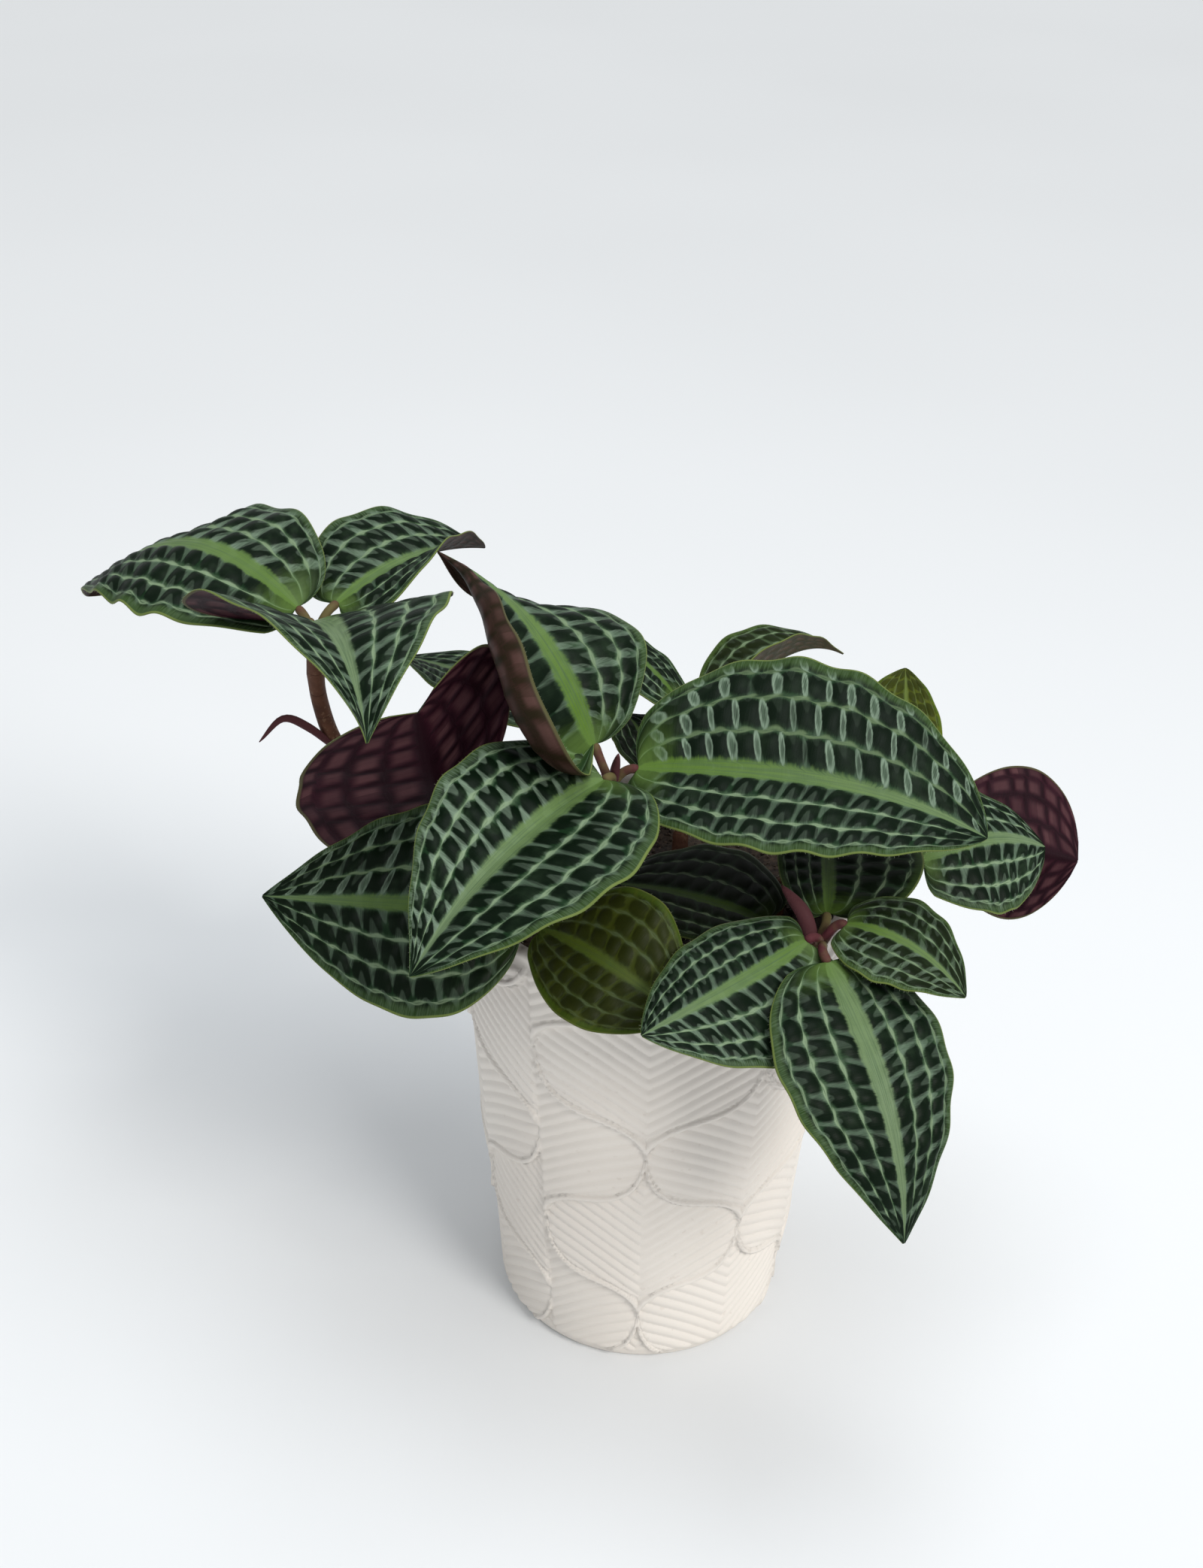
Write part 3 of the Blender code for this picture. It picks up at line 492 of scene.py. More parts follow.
def midribOf(settings, share):
    base, tip = np.array(settings["base"], float), np.array(settings["tip"], float)
    chord = unit(tip - base)
    upward = unit(np.array((0.0, 0.0, 1.0)) - chord[2] * chord)
    rightward = np.cross(chord, upward)
    near = base + (tip - base) / 3 + upward * settings["rise"][0] + rightward * settings["sway"][0]
    far = tip + (base - tip) / 3 + upward * settings["rise"][1] + rightward * settings["sway"][1]
    t = share[:, None]
    points = base * (1 - t) ** 3 + 3 * near * t * (1 - t) ** 2 + 3 * far * t**2 * (1 - t) + tip * t**3
    ahead = unit(3 * (near - base) * (1 - t) ** 2 + 6 * (far - near) * t * (1 - t) + 3 * (tip - far) * t**2)
    normal = unit(upward - (ahead @ upward)[:, None] * ahead)
    turn = np.radians(along(settings["roll"], share))[:, None]
    normal = np.cos(turn) * normal + np.sin(turn) * np.cross(ahead, normal)
    return points, ahead, normal


def sided(value, across):  # a setting that may be a pair, for the left and the right half
    left, right = np.broadcast_to(value, 2)
    return np.where(across < 0, left, right)


def outlineOf(settings, share, across):
    full, taper = (sided(settings.get(key, blades[key]), across) for key in ("full", "taper"))
    widest = full / (full + taper)
    return share**full * (1 - share) ** taper / (widest**full * (1 - widest) ** taper)


def bladePoints(settings, forward, across, puckered=True):
    share = forward**1.5
    points, ahead, normal = midribOf(settings, share)
    rightward = np.cross(ahead, normal)
    out = np.abs(across)
    outline = outlineOf(settings, share, across)
    length = np.linalg.norm(np.subtract(settings["tip"], settings["base"]))
    start = blades["start"] * (1 - 0.75 * share)
    offset = np.zeros_like(points)
    for side, key, width in ((-1, "left", settings["wide"][0]), (1, "right", settings["wide"][1])):
        slope, bend = (np.radians(along(value, share)) for value in settings[key])
        steps = (np.arange(24) + 0.5) / 24
        angle = slope[:, None] + bend[:, None] * (out[:, None] * steps) ** settings.get("crease", 2)
        reach = out * (start + (width - start) * outline)
        level, height = reach * np.cos(angle).mean(axis=1), reach * np.sin(angle).mean(axis=1)
        shift = side * level[:, None] * rightward + height[:, None] * normal
        offset = np.where((np.sign(across) == side)[:, None], shift, offset)
    back = sided(settings.get("lobe", blades["lobe"]), across) * out**1.6 * np.clip(2.2 * outline, 0, 1) * (1 - share) ** 7
    aheadBy = 0.45 * (1 - share) - back + sided(settings.get("sweep", 0), across) * out * outline
    size, count, begin = settings["wave"]
    wave = size * np.sin(2 * np.pi * count * share + begin + across) * out**2 * np.sin(np.pi * share)
    panel, number = np.zeros_like(out), np.zeros_like(out)
    for inner, outer in zip(veinPlaces, veinPlaces[1:]):
        within = np.clip((out - inner) / (outer - inner), 0, 1)
        panel += np.sin(np.pi * within) ** 0.62 * min(1, (outer - inner) / 0.28)
        number += (out > inner) * 1.0
    # the puckers lie across the panels, and start anew in each with a small shift
    pitch = blades[settings["size"] + "Pitch"]
    row = number + np.where(across < 0, 3.7, 0.0) + length * 0.37
    drift = 0.9 * np.sin(share * 9 + row * 2.1) + 0.5 * np.sin(share * 23 + row * 5.3)
    ribPhase = (share * length * 1.04 + 5 * out * (1 - out) + drift) / pitch + 0.13 * np.sin(row * 7.7)
    cell = np.abs(np.sin(np.pi * ribPhase)) ** 0.75
    room = np.clip(outline * 1.3, 0, 1) * np.clip(length / 90, 0.5, 1)
    fade = smoothStep(out, 0.99, 0.80) * smoothStep(share, 0.0, 0.08) * smoothStep(share, 1.0, 0.9)
    rise = blades["crown"] * panel * room
    if puckered:
        rise = rise + blades["pucker"] * panel * (cell - 0.6) * room * fade
    placed = points + offset + aheadBy[:, None] * ahead + (wave + rise)[:, None] * normal
    return placed, ribPhase, share * length


def makeLeaf(name, settings, material):
    rows, columns = blades[settings["size"]]
    forward, across = np.meshgrid(np.linspace(0, 1, rows + 1), np.linspace(-1, 1, columns + 1), indexing="ij")
    middle, ribPhase, distance = bladePoints(settings, forward.ravel(), across.ravel())
    grid = middle.reshape(rows + 1, columns + 1, 3)
    ahead, aside = np.gradient(grid, axis=0), np.gradient(grid, axis=1)
    normal = unit(np.cross(aside, ahead))
    outward = np.zeros_like(grid)  # along the blade and away from it, at its rim
    outward[:, 0] -= unit(aside[:, 0])
    outward[:, -1] += unit(aside[:, -1])
    outward[0] -= unit(ahead[0])
    outward[-1] += unit(ahead[-1])
    around = [(0, c) for c in range(columns)] + [(r, columns) for r in range(rows)]
    around += [(rows, c) for c in range(columns, 0, -1)] + [(r, 0) for r in range(rows, 0, -1)]
    rim = np.array([grid[r, c] + blades["rim"] * unit(outward[r, c]) for r, c in around])
    half = blades["thickness"] / 2
    count = (rows + 1) * (columns + 1)
    points = np.vstack([(grid + half * normal).reshape(-1, 3), (grid - half * normal).reshape(-1, 3), rim])
    faces = []
    for r in range(rows):
        for c in range(columns):
            a, b = r * (columns + 1) + c, (r + 1) * (columns + 1) + c
            faces.append((a, a + 1, b + 1, b))
            faces.append((count + a, count + b, count + b + 1, count + a + 1))
    for i, (r, c) in enumerate(around):
        nextRow, nextColumn = around[(i + 1) % len(around)]
        here, after = r * (columns + 1) + c, nextRow * (columns + 1) + nextColumn
        rimHere, rimAfter = 2 * count + i, 2 * count + (i + 1) % len(around)
        faces.append((here, rimHere, rimAfter, after))
        faces.append((count + here, count + after, rimAfter, rimHere))
    rimRows = np.array([r * (columns + 1) + c for r, c in around])
    attributes = {"top": np.concatenate([np.ones(count), np.zeros(count), np.full(len(rim), 0.8)])}
    for key, values in (("across", across.ravel()), ("share", forward.ravel() ** 1.5), ("ribPhase", ribPhase), ("distance", distance)):
        attributes[key] = np.concatenate([values, values, values[rimRows]])
    return newPiece(name + "Blade", points, faces, material, attributes)


leafColours = {
    "dark": (0.0025, 0.0075, 0.0030), "deep": (0.0095, 0.031, 0.0115), "mid": (0.060, 0.105, 0.055),
    "vein": (0.235, 0.320, 0.195), "dullVein": (0.075, 0.118, 0.045), "silver": (0.185, 0.255, 0.185),
    "lime": (0.085, 0.160, 0.020), "pale": (0.150, 0.215, 0.112), "margin": (0.140, 0.185, 0.050),
    "band": (0.022, 0.046, 0.018), "fresh": (0.060, 0.120, 0.012), "yellow": (0.105, 0.120, 0.006),
    "paintedShade": (0.0060, 0.0070, 0.0040), "under": (0.030, 0.007, 0.013), "underRidge": (0.085, 0.036, 0.040),
    "underDeep": (0.008, 0.002, 0.004), "underMargin": (0.100, 0.095, 0.045), "underYellow": (0.070, 0.095, 0.008),
}


def leafMaterial(name, look, seed):
    c = leafColours
    made, g = newMaterial(name + "Skin")
    across, share, phase, distance = (g.attribute(key) for key in ("across", "share", "ribPhase", "distance"))
    upper = g.attribute("top") > 0.5
    out, onRight = abs(across), across > 0.0
    silver, glint = (look[key][0] * (1 - onRight) + look[key][1] * onRight for key in ("silver", "glint"))
    pale, yellow, dark = look["pale"], look["yellow"], look["dark"]
    cloud = g.noise(g.add("ShaderNodeTexCoord").outputs["Object"], 45.0, 3.0)
    comb = g.noise(g.point(phase * 8.0, across * 3.0, seed), 1.0, 2.0)  # streaks across the blade
    fine = g.noise(g.point(phase * 28.0, across * 6.0, seed + 4.0), 1.0, 2.0)
    lines = g.noise(g.point(distance * 0.06, across * 70.0, seed + 8.0), 1.0, 1.0)  # and along it
    patch = g.noise(g.point(phase * 1.3, across * 6.0, seed + 2.0), 1.0, 2.0)

    # each panel between two veins: which one, and how far across it
    first, second, third = veinPlaces[1:4]
    panel = (out > first) * 1.0 + (out > second) + (out > third)
    inner = veinPlaces[0] + (out > first) * (first - veinPlaces[0]) + (out > second) * (second - first) + (out > third) * (third - second)
    width = (first - veinPlaces[0]) + (out > first) * (second - 2 * first + veinPlaces[0])
    width = width + (out > second) * (third - 2 * second + first) + (out > third) * (1 - 2 * third + second)
    within = ((out - inner) / width).clip()
    toMiddle = 1 - abs(2 * within - 1)
    row = panel + 5.0 * onRight

    def chance(number, shift):
        return g.number("ShaderNodeTexWhiteNoise", "Value", None, {"Vector": g.point(number, row, seed + shift)})

    # pale rungs between the puckers, partly pale teeth of the veins and partly painted highlights on the ridges between
    # puckers: long ones from the inner vein, short ones from the outer vein
    lean = phase + 0.30 * (within - 0.5) + 0.10 * (patch - 0.5)
    rungNumber, shortNumber = (lean + 0.5).floor(), lean.floor()
    fromRung, fromShort = abs(lean - rungNumber), abs(lean - shortNumber - 0.5)
    own, other = chance(rungNumber, 0.0), chance(rungNumber, 9.0)
    reach, shortReach = 0.55 + 0.75 * own, 0.10 + 0.60 * chance(shortNumber, 5.0)
    fringe = 0.07 * (fine - 0.5) + 0.05 * (comb - 0.5)

    def rung(away, sideways, length):
        room = 0.015 + 0.185 * (1 - away / length).atLeast(0.0)
        return (sideways + fringe).step(room + 0.05, room - 0.02) * away.step(length, 0.75 * length)

    rungs = rung(within, fromRung, reach).atLeast(rung(1 - within, fromShort, shortReach))
    # oval glints on the puckers of a half that faces the light, hollow and streaked
    oval = ((fromRung / (0.10 + 0.13 * other)) ** 2.0 + ((2 * within - 1) * 0.97) ** 2.0) ** 0.5
    oval = oval + 0.5 * (fine - 0.5) + 0.4 * (patch - 0.5)
    ovals = oval.step(1.08, 0.82) * (0.22 + 0.78 * oval.step(0.30, 0.85)) * other.step(0.05, 0.30) * (0.30 + 1.1 * fine)
    # painted sheen: soft pale patches that stand in for broad highlights on the puckers
    paintedSheen = (0.55 * cloud + 0.75 * patch).step(0.62, 0.90) * (0.35 + 1.0 * fine)

    # dark rounded cells, one on each pucker
    roundness = ((1 - 2 * fromRung) * (0.86 + 0.3 * other)) ** 3.0 + (abs(2 * within - 1) * 1.02) ** 3.0
    cell = (roundness ** (1 / 3) + 0.30 * (fine - 0.5) + 0.35 * (patch - 0.5)).step(1.02, 0.74)

    # the side veins bend a little round each pucker
    wobble = 0.014 * ((phase + 0.31 * panel) * (2 * math.pi)).sin() + 0.045 * (patch - 0.5)

    def vein(centre, core, soft):
        return abs(out - centre + wobble).step(soft, core)

    open_ = share.step(0.0, 0.09) * share.step(1.0, 0.95)
    halo = vein(first, 0.0, 0.085).atLeast(vein(second, 0.0, 0.08)).atLeast(0.8 * vein(third, 0.0, 0.06))
    halo = halo.atLeast((out - veinPlaces[0] + wobble).step(0.10, -0.01))
    halo = (halo + 0.6 * (comb - 0.5) + 0.5 * (fine - 0.5)).step(0.20, 0.95)
    core = vein(first, 0.004, 0.026).atLeast(vein(second, 0.004, 0.024)).atLeast(0.75 * vein(third, 0.002, 0.018))
    core = core * (0.80 + 0.5 * (lines - 0.4)) * (1 - 0.75 * yellow)
    inside = open_ * out.step(0.965, 0.93)

    colour = g.colours((0.25 + 0.6 * cloud + 0.4 * fine - 0.85 * cell).clip(), c["dark"], c["deep"])
    colour = g.colours((halo * (0.40 + 0.50 * silver + 0.2 * pale) * (1 - 0.45 * glint) * (1 - 0.6 * cell)).clip(), colour, c["mid"])
    colour = g.colours((paintedSheen * open_ * (0.05 + 0.50 * silver) * (1 - 0.5 * cell)).clip(), colour, c["mid"])
    colour = g.colours((rungs * inside * silver * (1 - 0.6 * glint) * (0.30 + 0.8 * fine) * (1 - 0.5 * cell)).clip(), colour, c["silver"])
    colour = g.colours((ovals * inside * glint).clip(), colour, c["silver"])
    edge = (out + 0.05 * (comb - 0.5) + 0.03 * (fine - 0.5)).step(0.87, 0.95)
    edgeColour = g.colours((0.2 + 0.9 * yellow + 0.3 * cloud - 0.2 * silver).clip(), c["band"], c["fresh"])
    # painted sheen on the edge band, stronger on a half that faces the light
    edgeColour = g.colours((silver * 0.55 * fine.step(0.3, 0.7)).clip(), edgeColour, c["silver"])
    colour = g.colours((edge * (0.45 + 0.5 * fine)).clip(), colour, edgeColour)
    colour = g.colours((core * (0.75 + 0.3 * fine)).clip(), colour, g.colours(glint * 0.7, c["vein"], c["dullVein"]))
    # midrib: lime by the stalk, pale by the tip
    ribWidth = (0.062 + 0.045 * pale) * (1 + 0.65 * (1 - share) ** 2.0)
    midrib = (out + 0.055 * (comb - 0.5) + 0.035 * (fine - 0.5)).step(ribWidth + 0.025, ribWidth - 0.025)
    ribColour = g.colours((share * 0.85 + pale * 1.1 - 0.25).clip(), c["lime"], c["pale"])
    ribColour = g.colours((lines.step(0.42, 0.70) * 0.45 + 0.3 * out.step(0.014, 0.0)).clip(), ribColour, c["mid"])
    colour = g.colours(midrib * (0.80 + 0.2 * fine), colour, ribColour)
    footGlow = (share + 0.05 * (comb - 0.5)).step(0.13, 0.0) * out.step(1.0, 0.2)
    colour = g.colours(footGlow * 0.7, colour, g.colours(silver * 0.5, c["lime"], c["pale"]))
    colour = g.colours(out.step(0.980, 0.990) * 0.9, colour, c["margin"])
    colour = g.colours((max(0.0, yellow - 0.2) * 0.75 * (1 - core * 0.5) * (0.5 + 0.8 * patch) * (1 - 0.5 * cell)).clip(), colour, c["yellow"])
    # painted shade: the look's dark share turns a leaf that lies in shade towards near black
    colour = g.colours(dark * 0.75, colour, c["paintedShade"])

    # burgundy underside with its raised cells
    net = vein(first, 0.0, 0.05).atLeast(vein(second, 0.0, 0.05)).atLeast(out.step(0.12, 0.04))
    cells = toMiddle.step(0.15, 0.75) * (fromRung + 0.05 * (fine - 0.5)).step(0.06, 0.34)
    beneath = g.colours((cloud * 0.7 + fine * 0.5).step(0.3, 0.8), c["underDeep"], c["under"])
    beneath = g.colours((cells * (0.30 + 0.6 * own)).clip(), beneath, c["underRidge"])
    beneath = g.colours(net.atLeast(fromRung.step(0.14, 0.03)) * 0.6, beneath, c["underDeep"])
    beneath = g.colours(out.step(0.970, 0.988) * 0.7, beneath, c["underMargin"])
    beneath = g.colours(yellow * 0.7, beneath, c["underYellow"])

    colour = g.colours(upper, beneath, colour)
    roughness = upper * (0.30 + 0.20 * fine) + (1 - upper) * (0.42 + 0.16 * fine)
    bump = comb * 0.4 + fine * 0.5 + 0.5 * lines * midrib - core * 0.8
    finishMaterial(g, colour, roughness, bump, 0.00022, 0.45, 0.06)
    return made


stems = {
    "sides": 16, "perSpan": 9, "stalkRadius": 1.7, "depth": 24, "soilTop": 164, "nodeSwell": 0.32,
}

stemPlan = {
    "stem_a": {"path": ((-42, 24, 167), (-46, 25, 178), (-66, 33, 187), (-95, 38, 189), (-113, 36, 199), (-120, 32, 222), (-119, 20, 254)),
               "radius": (3.4, 2.8), "stalks": {"leaf_a1": 0.97, "leaf_a2": 0.95, "leaf_a3": 0.99, "leaf_c1": 0.35},
               "sheaths": ((((-115, 34, 202), (-124, 29, 213), (-132, 25, 218), (-140, 22, 210)), 1.5),)},
    "stem_b": {"path": ((-12, 2, 167), (-12, 1, 178), (-14, -8, 205), (-16, -18, 222)),
               "radius": (3.2, 2.2), "stalks": {"leaf_b1": 0.95, "leaf_b2": 0.98, "leaf_b3": 0.96},
               "sheaths": ((((-16, -17, 220), (-15, -21, 230), (-14, -24, 238)), 1.7),)},
    "stem_c": {"path": ((-38, -16, 167), (-39, -20, 174), (-43, -34, 184)),
               "radius": (3.0, 2.2), "stalks": {"leaf_c2": 0.95, "leaf_d1": 0.98}, "sheaths": ()},
    "stem_e": {"path": ((34, -24, 167), (36, -28, 174), (46, -46, 184), (52, -56, 190)),
               "radius": (3.2, 2.4), "stalks": {"leaf_e1": 0.97, "leaf_e2": 0.99, "leaf_e3": 0.98, "leaf_e4": 0.9, "leaf_f1": 0.4},
               "sheaths": ((((51, -54, 189), (47, -50, 198), (40, -44, 204)), 2.6),)},
    "stem_g": {"path": ((42, 4, 167), (46, 4, 176), (64, 4, 186), (80, 2, 190)),
               "radius": (3.0, 2.0), "stalks": {"leaf_g1": 0.95, "leaf_g2": 0.98, "leaf_g3": 0.9}, "sheaths": ()},
    "stem_h": {"path": ((8, 34, 167), (8, 38, 178), (9, 50, 196)),
               "radius": (3.0, 2.0), "stalks": {"leaf_b4": 0.94, "leaf_h1": 0.9, "leaf_k1": 0.55}, "sheaths": ()},
    "stem_i": {"path": ((-26, 34, 167), (-27, 38, 176), (-32, 56, 192)),
               "radius": (2.8, 1.9), "stalks": {"leaf_i1": 0.98}, "sheaths": ()},
}


def smoothPath(points, perSpan):  # Catmull-Rom through the points
    points = np.array(points, float)
    ends = np.vstack([2 * points[0] - points[1], points, 2 * points[-1] - points[-2]])
    made = [points[0]]
    for i in range(1, len(ends) - 2):
        a, b, c, d = ends[i - 1 : i + 3]
        for t in np.arange(1, perSpan + 1) / perSpan:
            made.append(0.5 * (2 * b + (c - a) * t + (2 * a - 5 * b + 4 * c - d) * t**2 + (3 * b - a - 3 * c + d) * t**3))
    return np.array(made)


def stemLine(plan, perSpan):
    x, y, top = plan["path"][0]
    foot = stems["soilTop"] - stems["depth"]
    return np.vstack([(x, y, foot), smoothPath([(x, y, top), *plan["path"][1:]], perSpan)])


def stalkLine(plan, share, settings):
    line = stemLine(plan, 3)
    place = share * (len(line) - 1)
    index = min(int(place), len(line) - 2)
    start = line[index] + (line[index + 1] - line[index]) * (place - index)
    base, ahead, _ = (found[0] for found in midribOf(settings, np.zeros(1)))
    reach = 0.4 * np.linalg.norm(base - start)
    leave = start + reach * unit(line[index + 1] - line[index])
    arrive = base - reach * ahead
    end = base - ahead
    t = np.linspace(0, 1, 16)[:, None]
    curve = start * (1 - t) ** 3 + 3 * leave * t * (1 - t) ** 2 + 3 * arrive * t**2 * (1 - t) + end * t**3
    return np.vstack([curve, base, base + 0.6 * ahead])


def tubeMesh(line, radii, sides):  # rings carried along the line without twist, closed at both ends
    heading = unit(np.gradient(line, axis=0))
    side = unit(np.cross(heading[0], (0.3, 0.5, 0.81)))
    points, faces = [], []
    turn = np.arange(sides) * 2 * math.pi / sides
    for i, (centre, way, radius) in enumerate(zip(line, heading, radii)):
        side = unit(side - (side @ way) * way)
        other = np.cross(way, side)
        for a in turn:
            points.append(centre + radius * (math.cos(a) * side + math.sin(a) * other))
        if i:
            for s in range(sides):
                after = (s + 1) % sides
                low, high = (i - 1) * sides, i * sides
                faces.append((low + s, low + after, high + after, high + s))
    faces.append(tuple(range(sides - 1, -1, -1)))
    faces.append(tuple(range(len(points) - sides, len(points))))
    return points, faces


def makeStem(name, plan, material):
    points, faces, lengths, kinds = [], [], [], []

    def join(line, radii, kind, sides):
        tubePoints, tubeFaces = tubeMesh(np.asarray(line), radii, sides)
        start = len(points)
        points.extend(tubePoints)
        faces.extend([tuple(index + start for index in face) for face in tubeFaces])
        gone = np.concatenate([[0], np.cumsum(np.linalg.norm(np.diff(line, axis=0), axis=1))])
        lengths.extend(np.repeat(gone, sides))
        kinds.extend([kind] * len(tubePoints))

    line = stemLine(plan, stems["perSpan"])
    share = np.linspace(0, 1, len(line))
    foot, top = plan["radius"]
    radii = foot + (top - foot) * share
    for swelling in np.arange(0.25, 1.0, 0.22):  # leaf scars ring the stem
        radii = radii + stems["nodeSwell"] * np.exp(-(((share - swelling) / 0.018) ** 2))
    join(line, radii, 0.0, stems["sides"])
    for leafName, at in plan["stalks"].items():
        stalk = stalkLine(plan, at, leaves[leafName])
        t = np.linspace(0, 1, len(stalk))
        radii = stems["stalkRadius"] + 0.5 * (1 - t) ** 3 - 0.25 * np.sin(np.pi * t)
        radii[-2:] = stems["stalkRadius"] - 0.3, stems["stalkRadius"] - 0.9
        join(stalk, radii, 1.0, 12)
    for path, radius in plan["sheaths"]:
        sheath = smoothPath(path, 6)
        t = np.linspace(0.2, 1, len(sheath))
        join(sheath, radius * (0.12 + 0.88 * np.abs(np.sin(np.pi * t)) ** 0.7), 2.0, 12)
    return newPiece(name + "Stem", points, faces, material, {"gone": lengths, "kind": kinds})


def stemMaterial():
    made, g = newMaterial("stemSkin")
    place = g.add("ShaderNodeTexCoord").outputs["Object"]
    gone, kind = g.attribute("gone"), g.attribute("kind")
    cloud, fleck = g.noise(place, 90.0, 3.0), g.noise(place, 620.0, 2.0)
    colour = g.colours(cloud.step(0.3, 0.7), (0.060, 0.028, 0.020), (0.13, 0.060, 0.038))
    colour = g.colours(fleck.step(0.58, 0.68) * 0.5, colour, (0.20, 0.12, 0.075))
    stalk = g.colours(cloud.step(0.35, 0.65), (0.085, 0.025, 0.030), (0.115, 0.095, 0.040))
    colour = g.colours(kind.step(0.4, 0.6), colour, stalk)
    colour = g.colours(kind.step(1.4, 1.6), colour, (0.085, 0.032, 0.036))
    ring = (gone / 11.0).wrap(1.0).step(0.05, 0.0) * (1 - kind.step(0.4, 0.6))
    colour = g.colours(ring * 0.6, colour, (0.035, 0.018, 0.012))
    finishMaterial(g, colour, 0.45 + 0.15 * cloud, fleck + 0.5 * ring, 0.0004, 0.5, 0.05)
    return made


hairs = {"spacing": 1.5, "length": 0.9, "thickness": 0.045, "seed": 4}


def makeHairs(material):
    points, outward, edges = [], [], []
    for settings in leaves.values():
        for side in (-1.0, 1.0):
            forward = np.linspace(0.08, 0.985, 90)
            margin = bladePoints(settings, forward, np.full(90, side))[0]
            inner = bladePoints(settings, forward, np.full(90, side * 0.96))[0]
            start = len(points)
            points.extend(margin * mm)
            outward.extend(unit(margin - inner) + 0.35 * unit(np.gradient(margin, axis=0)))
            edges.extend([(start + i, start + i + 1) for i in range(89)])
    mesh = bpy.data.meshes.new("marginLines")
    mesh.from_pydata([tuple(p) for p in points], edges, [])
    mesh.attributes.new("outward", "FLOAT_VECTOR", "POINT").data.foreach_set("vector", np.asarray(outward, np.float32).ravel())
    source = bpy.data.objects.new("hairSource", mesh)
    bpy.context.scene.collection.objects.link(source)

    tree = bpy.data.node_groups.new("marginHairs", "GeometryNodeTree")
    tree.interface.new_socket("Margins", in_out="INPUT", socket_type="NodeSocketGeometry")
    for name in ("Spacing", "Length", "Thickness"):
        tree.interface.new_socket(name, in_out="INPUT", socket_type="NodeSocketFloat")
    tree.interface.new_socket("Geometry", in_out="OUTPUT", socket_type="NodeSocketGeometry")
    g = Graph(tree)
    given = g.add("NodeGroupInput").outputs
    curves = g.add("GeometryNodeMeshToCurve", None, {"Mesh": given["Margins"]})
    spots = g.add("GeometryNodeResampleCurve", {"mode": "LENGTH"}, {"Curve": curves.outputs[0], "Length": given["Spacing"]})
    way = g.add("GeometryNodeInputNamedAttribute", {"data_type": "FLOAT_VECTOR"}, {"Name": "outward"})
    shake = g.add("FunctionNodeRandomValue", {"data_type": "FLOAT_VECTOR"}, {"Min": (-0.35, -0.35, -0.35), "Max": (0.35, 0.35, 0.35), "Seed": hairs["seed"]})
    heading = g.add("ShaderNodeVectorMath", {"operation": "ADD"}, {0: way.outputs[0], 1: shake.outputs[0]})
    turned = g.add("FunctionNodeAlignRotationToVector", {"axis": "Z"}, {"Vector": heading.outputs[0]})
    spike = g.add("GeometryNodeMeshCone", None, {"Vertices": 3, "Radius Bottom": given["Thickness"], "Radius Top": 0.0, "Depth": given["Length"]})
    scale = g.number("FunctionNodeRandomValue", 1, {"data_type": "FLOAT"}, {2: 0.5, 3: 1.1, "Seed": hairs["seed"] + 1})
    placed = g.add(
        "GeometryNodeInstanceOnPoints", None,
        {"Points": spots.outputs[0], "Instance": spike.outputs["Mesh"], "Rotation": turned.outputs[0], "Scale": scale},
    )
    real = g.add("GeometryNodeRealizeInstances", None, {"Geometry": placed.outputs[0]})
    dressed = g.add("GeometryNodeSetMaterial", None, {"Geometry": real.outputs[0], "Material": material})
    g.add("NodeGroupOutput", None, {0: dressed.outputs[0]})
    modifier = source.modifiers.new("hairs", "NODES")
    modifier.node_group = tree
    sizes = {"Spacing": hairs["spacing"] * mm, "Length": hairs["length"] * mm, "Thickness": hairs["thickness"] * mm}
    for item in tree.interface.items_tree:
        if item.name in sizes:
            modifier[item.identifier] = float(sizes[item.name])
    return applied(source, "marginHairs")


def hairMaterial():
    made, g = newMaterial("paleHair")
    place = g.add("ShaderNodeTexCoord").outputs["Object"]
    cloud = g.noise(place, 200.0, 2.0)
    finishMaterial(g, g.colours(cloud, (0.30, 0.34, 0.20), (0.48, 0.50, 0.36)), 0.5 + 0.1 * cloud)
    return made


studio = {
    "floor": (0.83, 0.85, 0.87), "world": (0.95, 0.98, 1.0), "worldStrength": 0.58,
    "key": {"from": (520, -560, 640), "strength": 1.75, "softness": 24, "colour": (1.0, 0.97, 0.93)},
    "top": {"place": (120, -60, 1250), "size": 650, "power": 5.0, "colour": (0.96, 0.98, 1.0)},
}


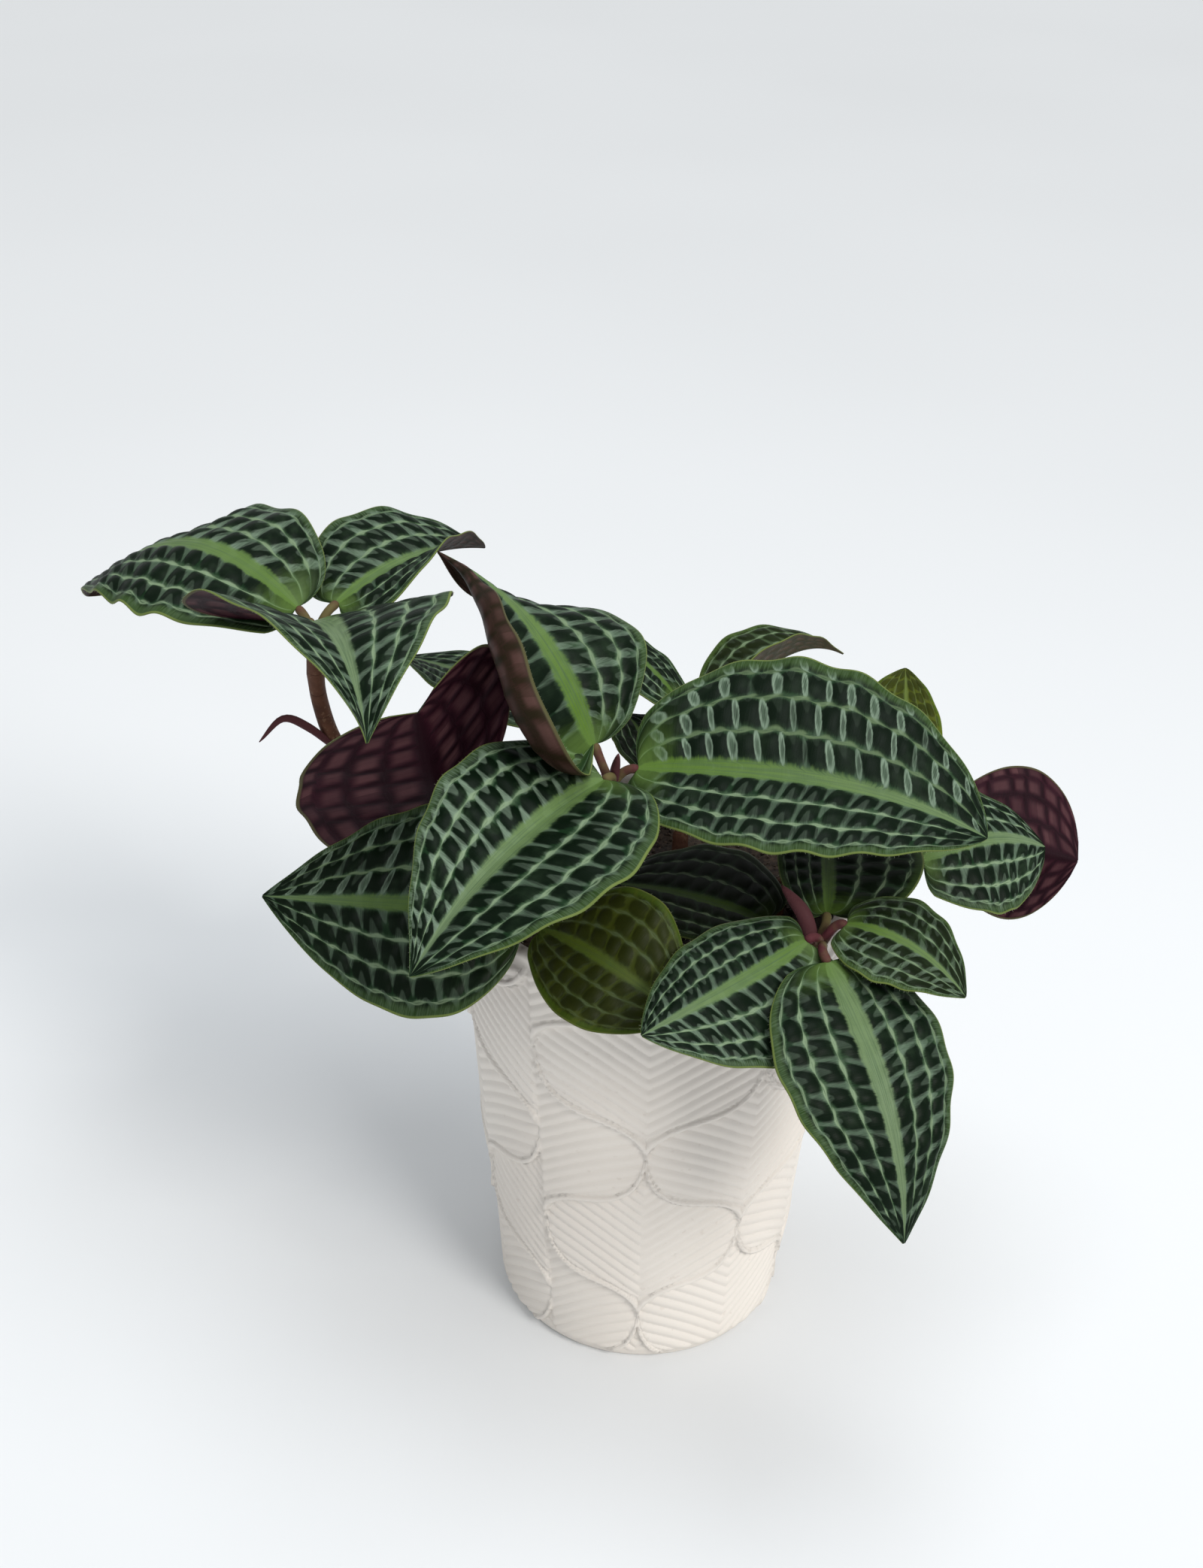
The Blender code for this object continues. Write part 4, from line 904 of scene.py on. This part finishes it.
def makeStudio():
    made, g = newMaterial("paleFloor")
    cloud = g.noise(g.add("ShaderNodeTexCoord").outputs["Object"], 1.3, 2.0)
    colour = g.colours(cloud.step(0.3, 0.7), studio["floor"], tuple(0.97 * v for v in studio["floor"]))
    finishMaterial(g, colour, 0.6 + 0.05 * cloud)
    reach = 9000
    floor = newPiece("floor", [(-reach, -reach, -0.2), (reach, -reach, -0.2), (reach, reach, -0.2), (-reach, reach, -0.2)], [(0, 1, 2, 3)], made)
    world = bpy.data.worlds.new("softRoom")
    world.use_nodes = True
    background = world.node_tree.nodes["Background"]
    background.inputs["Color"].default_value = (*studio["world"], 1.0)
    background.inputs["Strength"].default_value = studio["worldStrength"]
    bpy.context.scene.world = world
    bpy.context.scene.view_settings.view_transform = "Standard"
    key, top = studio["key"], studio["top"]
    sun = bpy.data.objects.new("keyLight", bpy.data.lights.new("keyLight", "SUN"))
    sun.data.energy, sun.data.angle, sun.data.color = key["strength"], math.radians(key["softness"]), key["colour"]
    sun.rotation_euler = Vector(key["from"]).to_track_quat("Z", "Y").to_euler()
    lamp = bpy.data.objects.new("topLight", bpy.data.lights.new("topLight", "AREA"))
    lamp.data.shape, lamp.data.size, lamp.data.energy, lamp.data.color = "DISK", top["size"] * mm, top["power"], top["colour"]
    lamp.location = Vector(top["place"]) * mm
    for light in (sun, lamp):
        bpy.context.scene.collection.objects.link(light)


makeCamera()
makeStudio()
print("camera and studio made")
stand(makePlanter(planterMaterial()), "cream_ceramic", "pot")
print("planter made")
soilPiece, crumbs = makeSoil(
    soilMaterial("pottingSoil", (0.012, 0.008, 0.006), (0.060, 0.040, 0.027)),
    soilMaterial("soilCrumb", (0.016, 0.010, 0.007), (0.085, 0.058, 0.040)),
)
stand(soilPiece, "potting_soil", "soil")
stand(crumbs, "potting_soil")
print("soil made")
stemSkin = stemMaterial()
for stemName, plan in stemPlan.items():
    stand(makeStem(stemName, plan, stemSkin), "stem_skin", stemName)
print("stems made")
for number, (leafName, settings) in enumerate(leaves.items()):
    skin = leafMaterial(leafName, settings["look"], 3.7 * number)
    stand(makeLeaf(leafName, settings, skin), "leaf_skin", leafName)
print("leaves made")
stand(makeHairs(hairMaterial()), "leaf_skin")
print("hairs made")
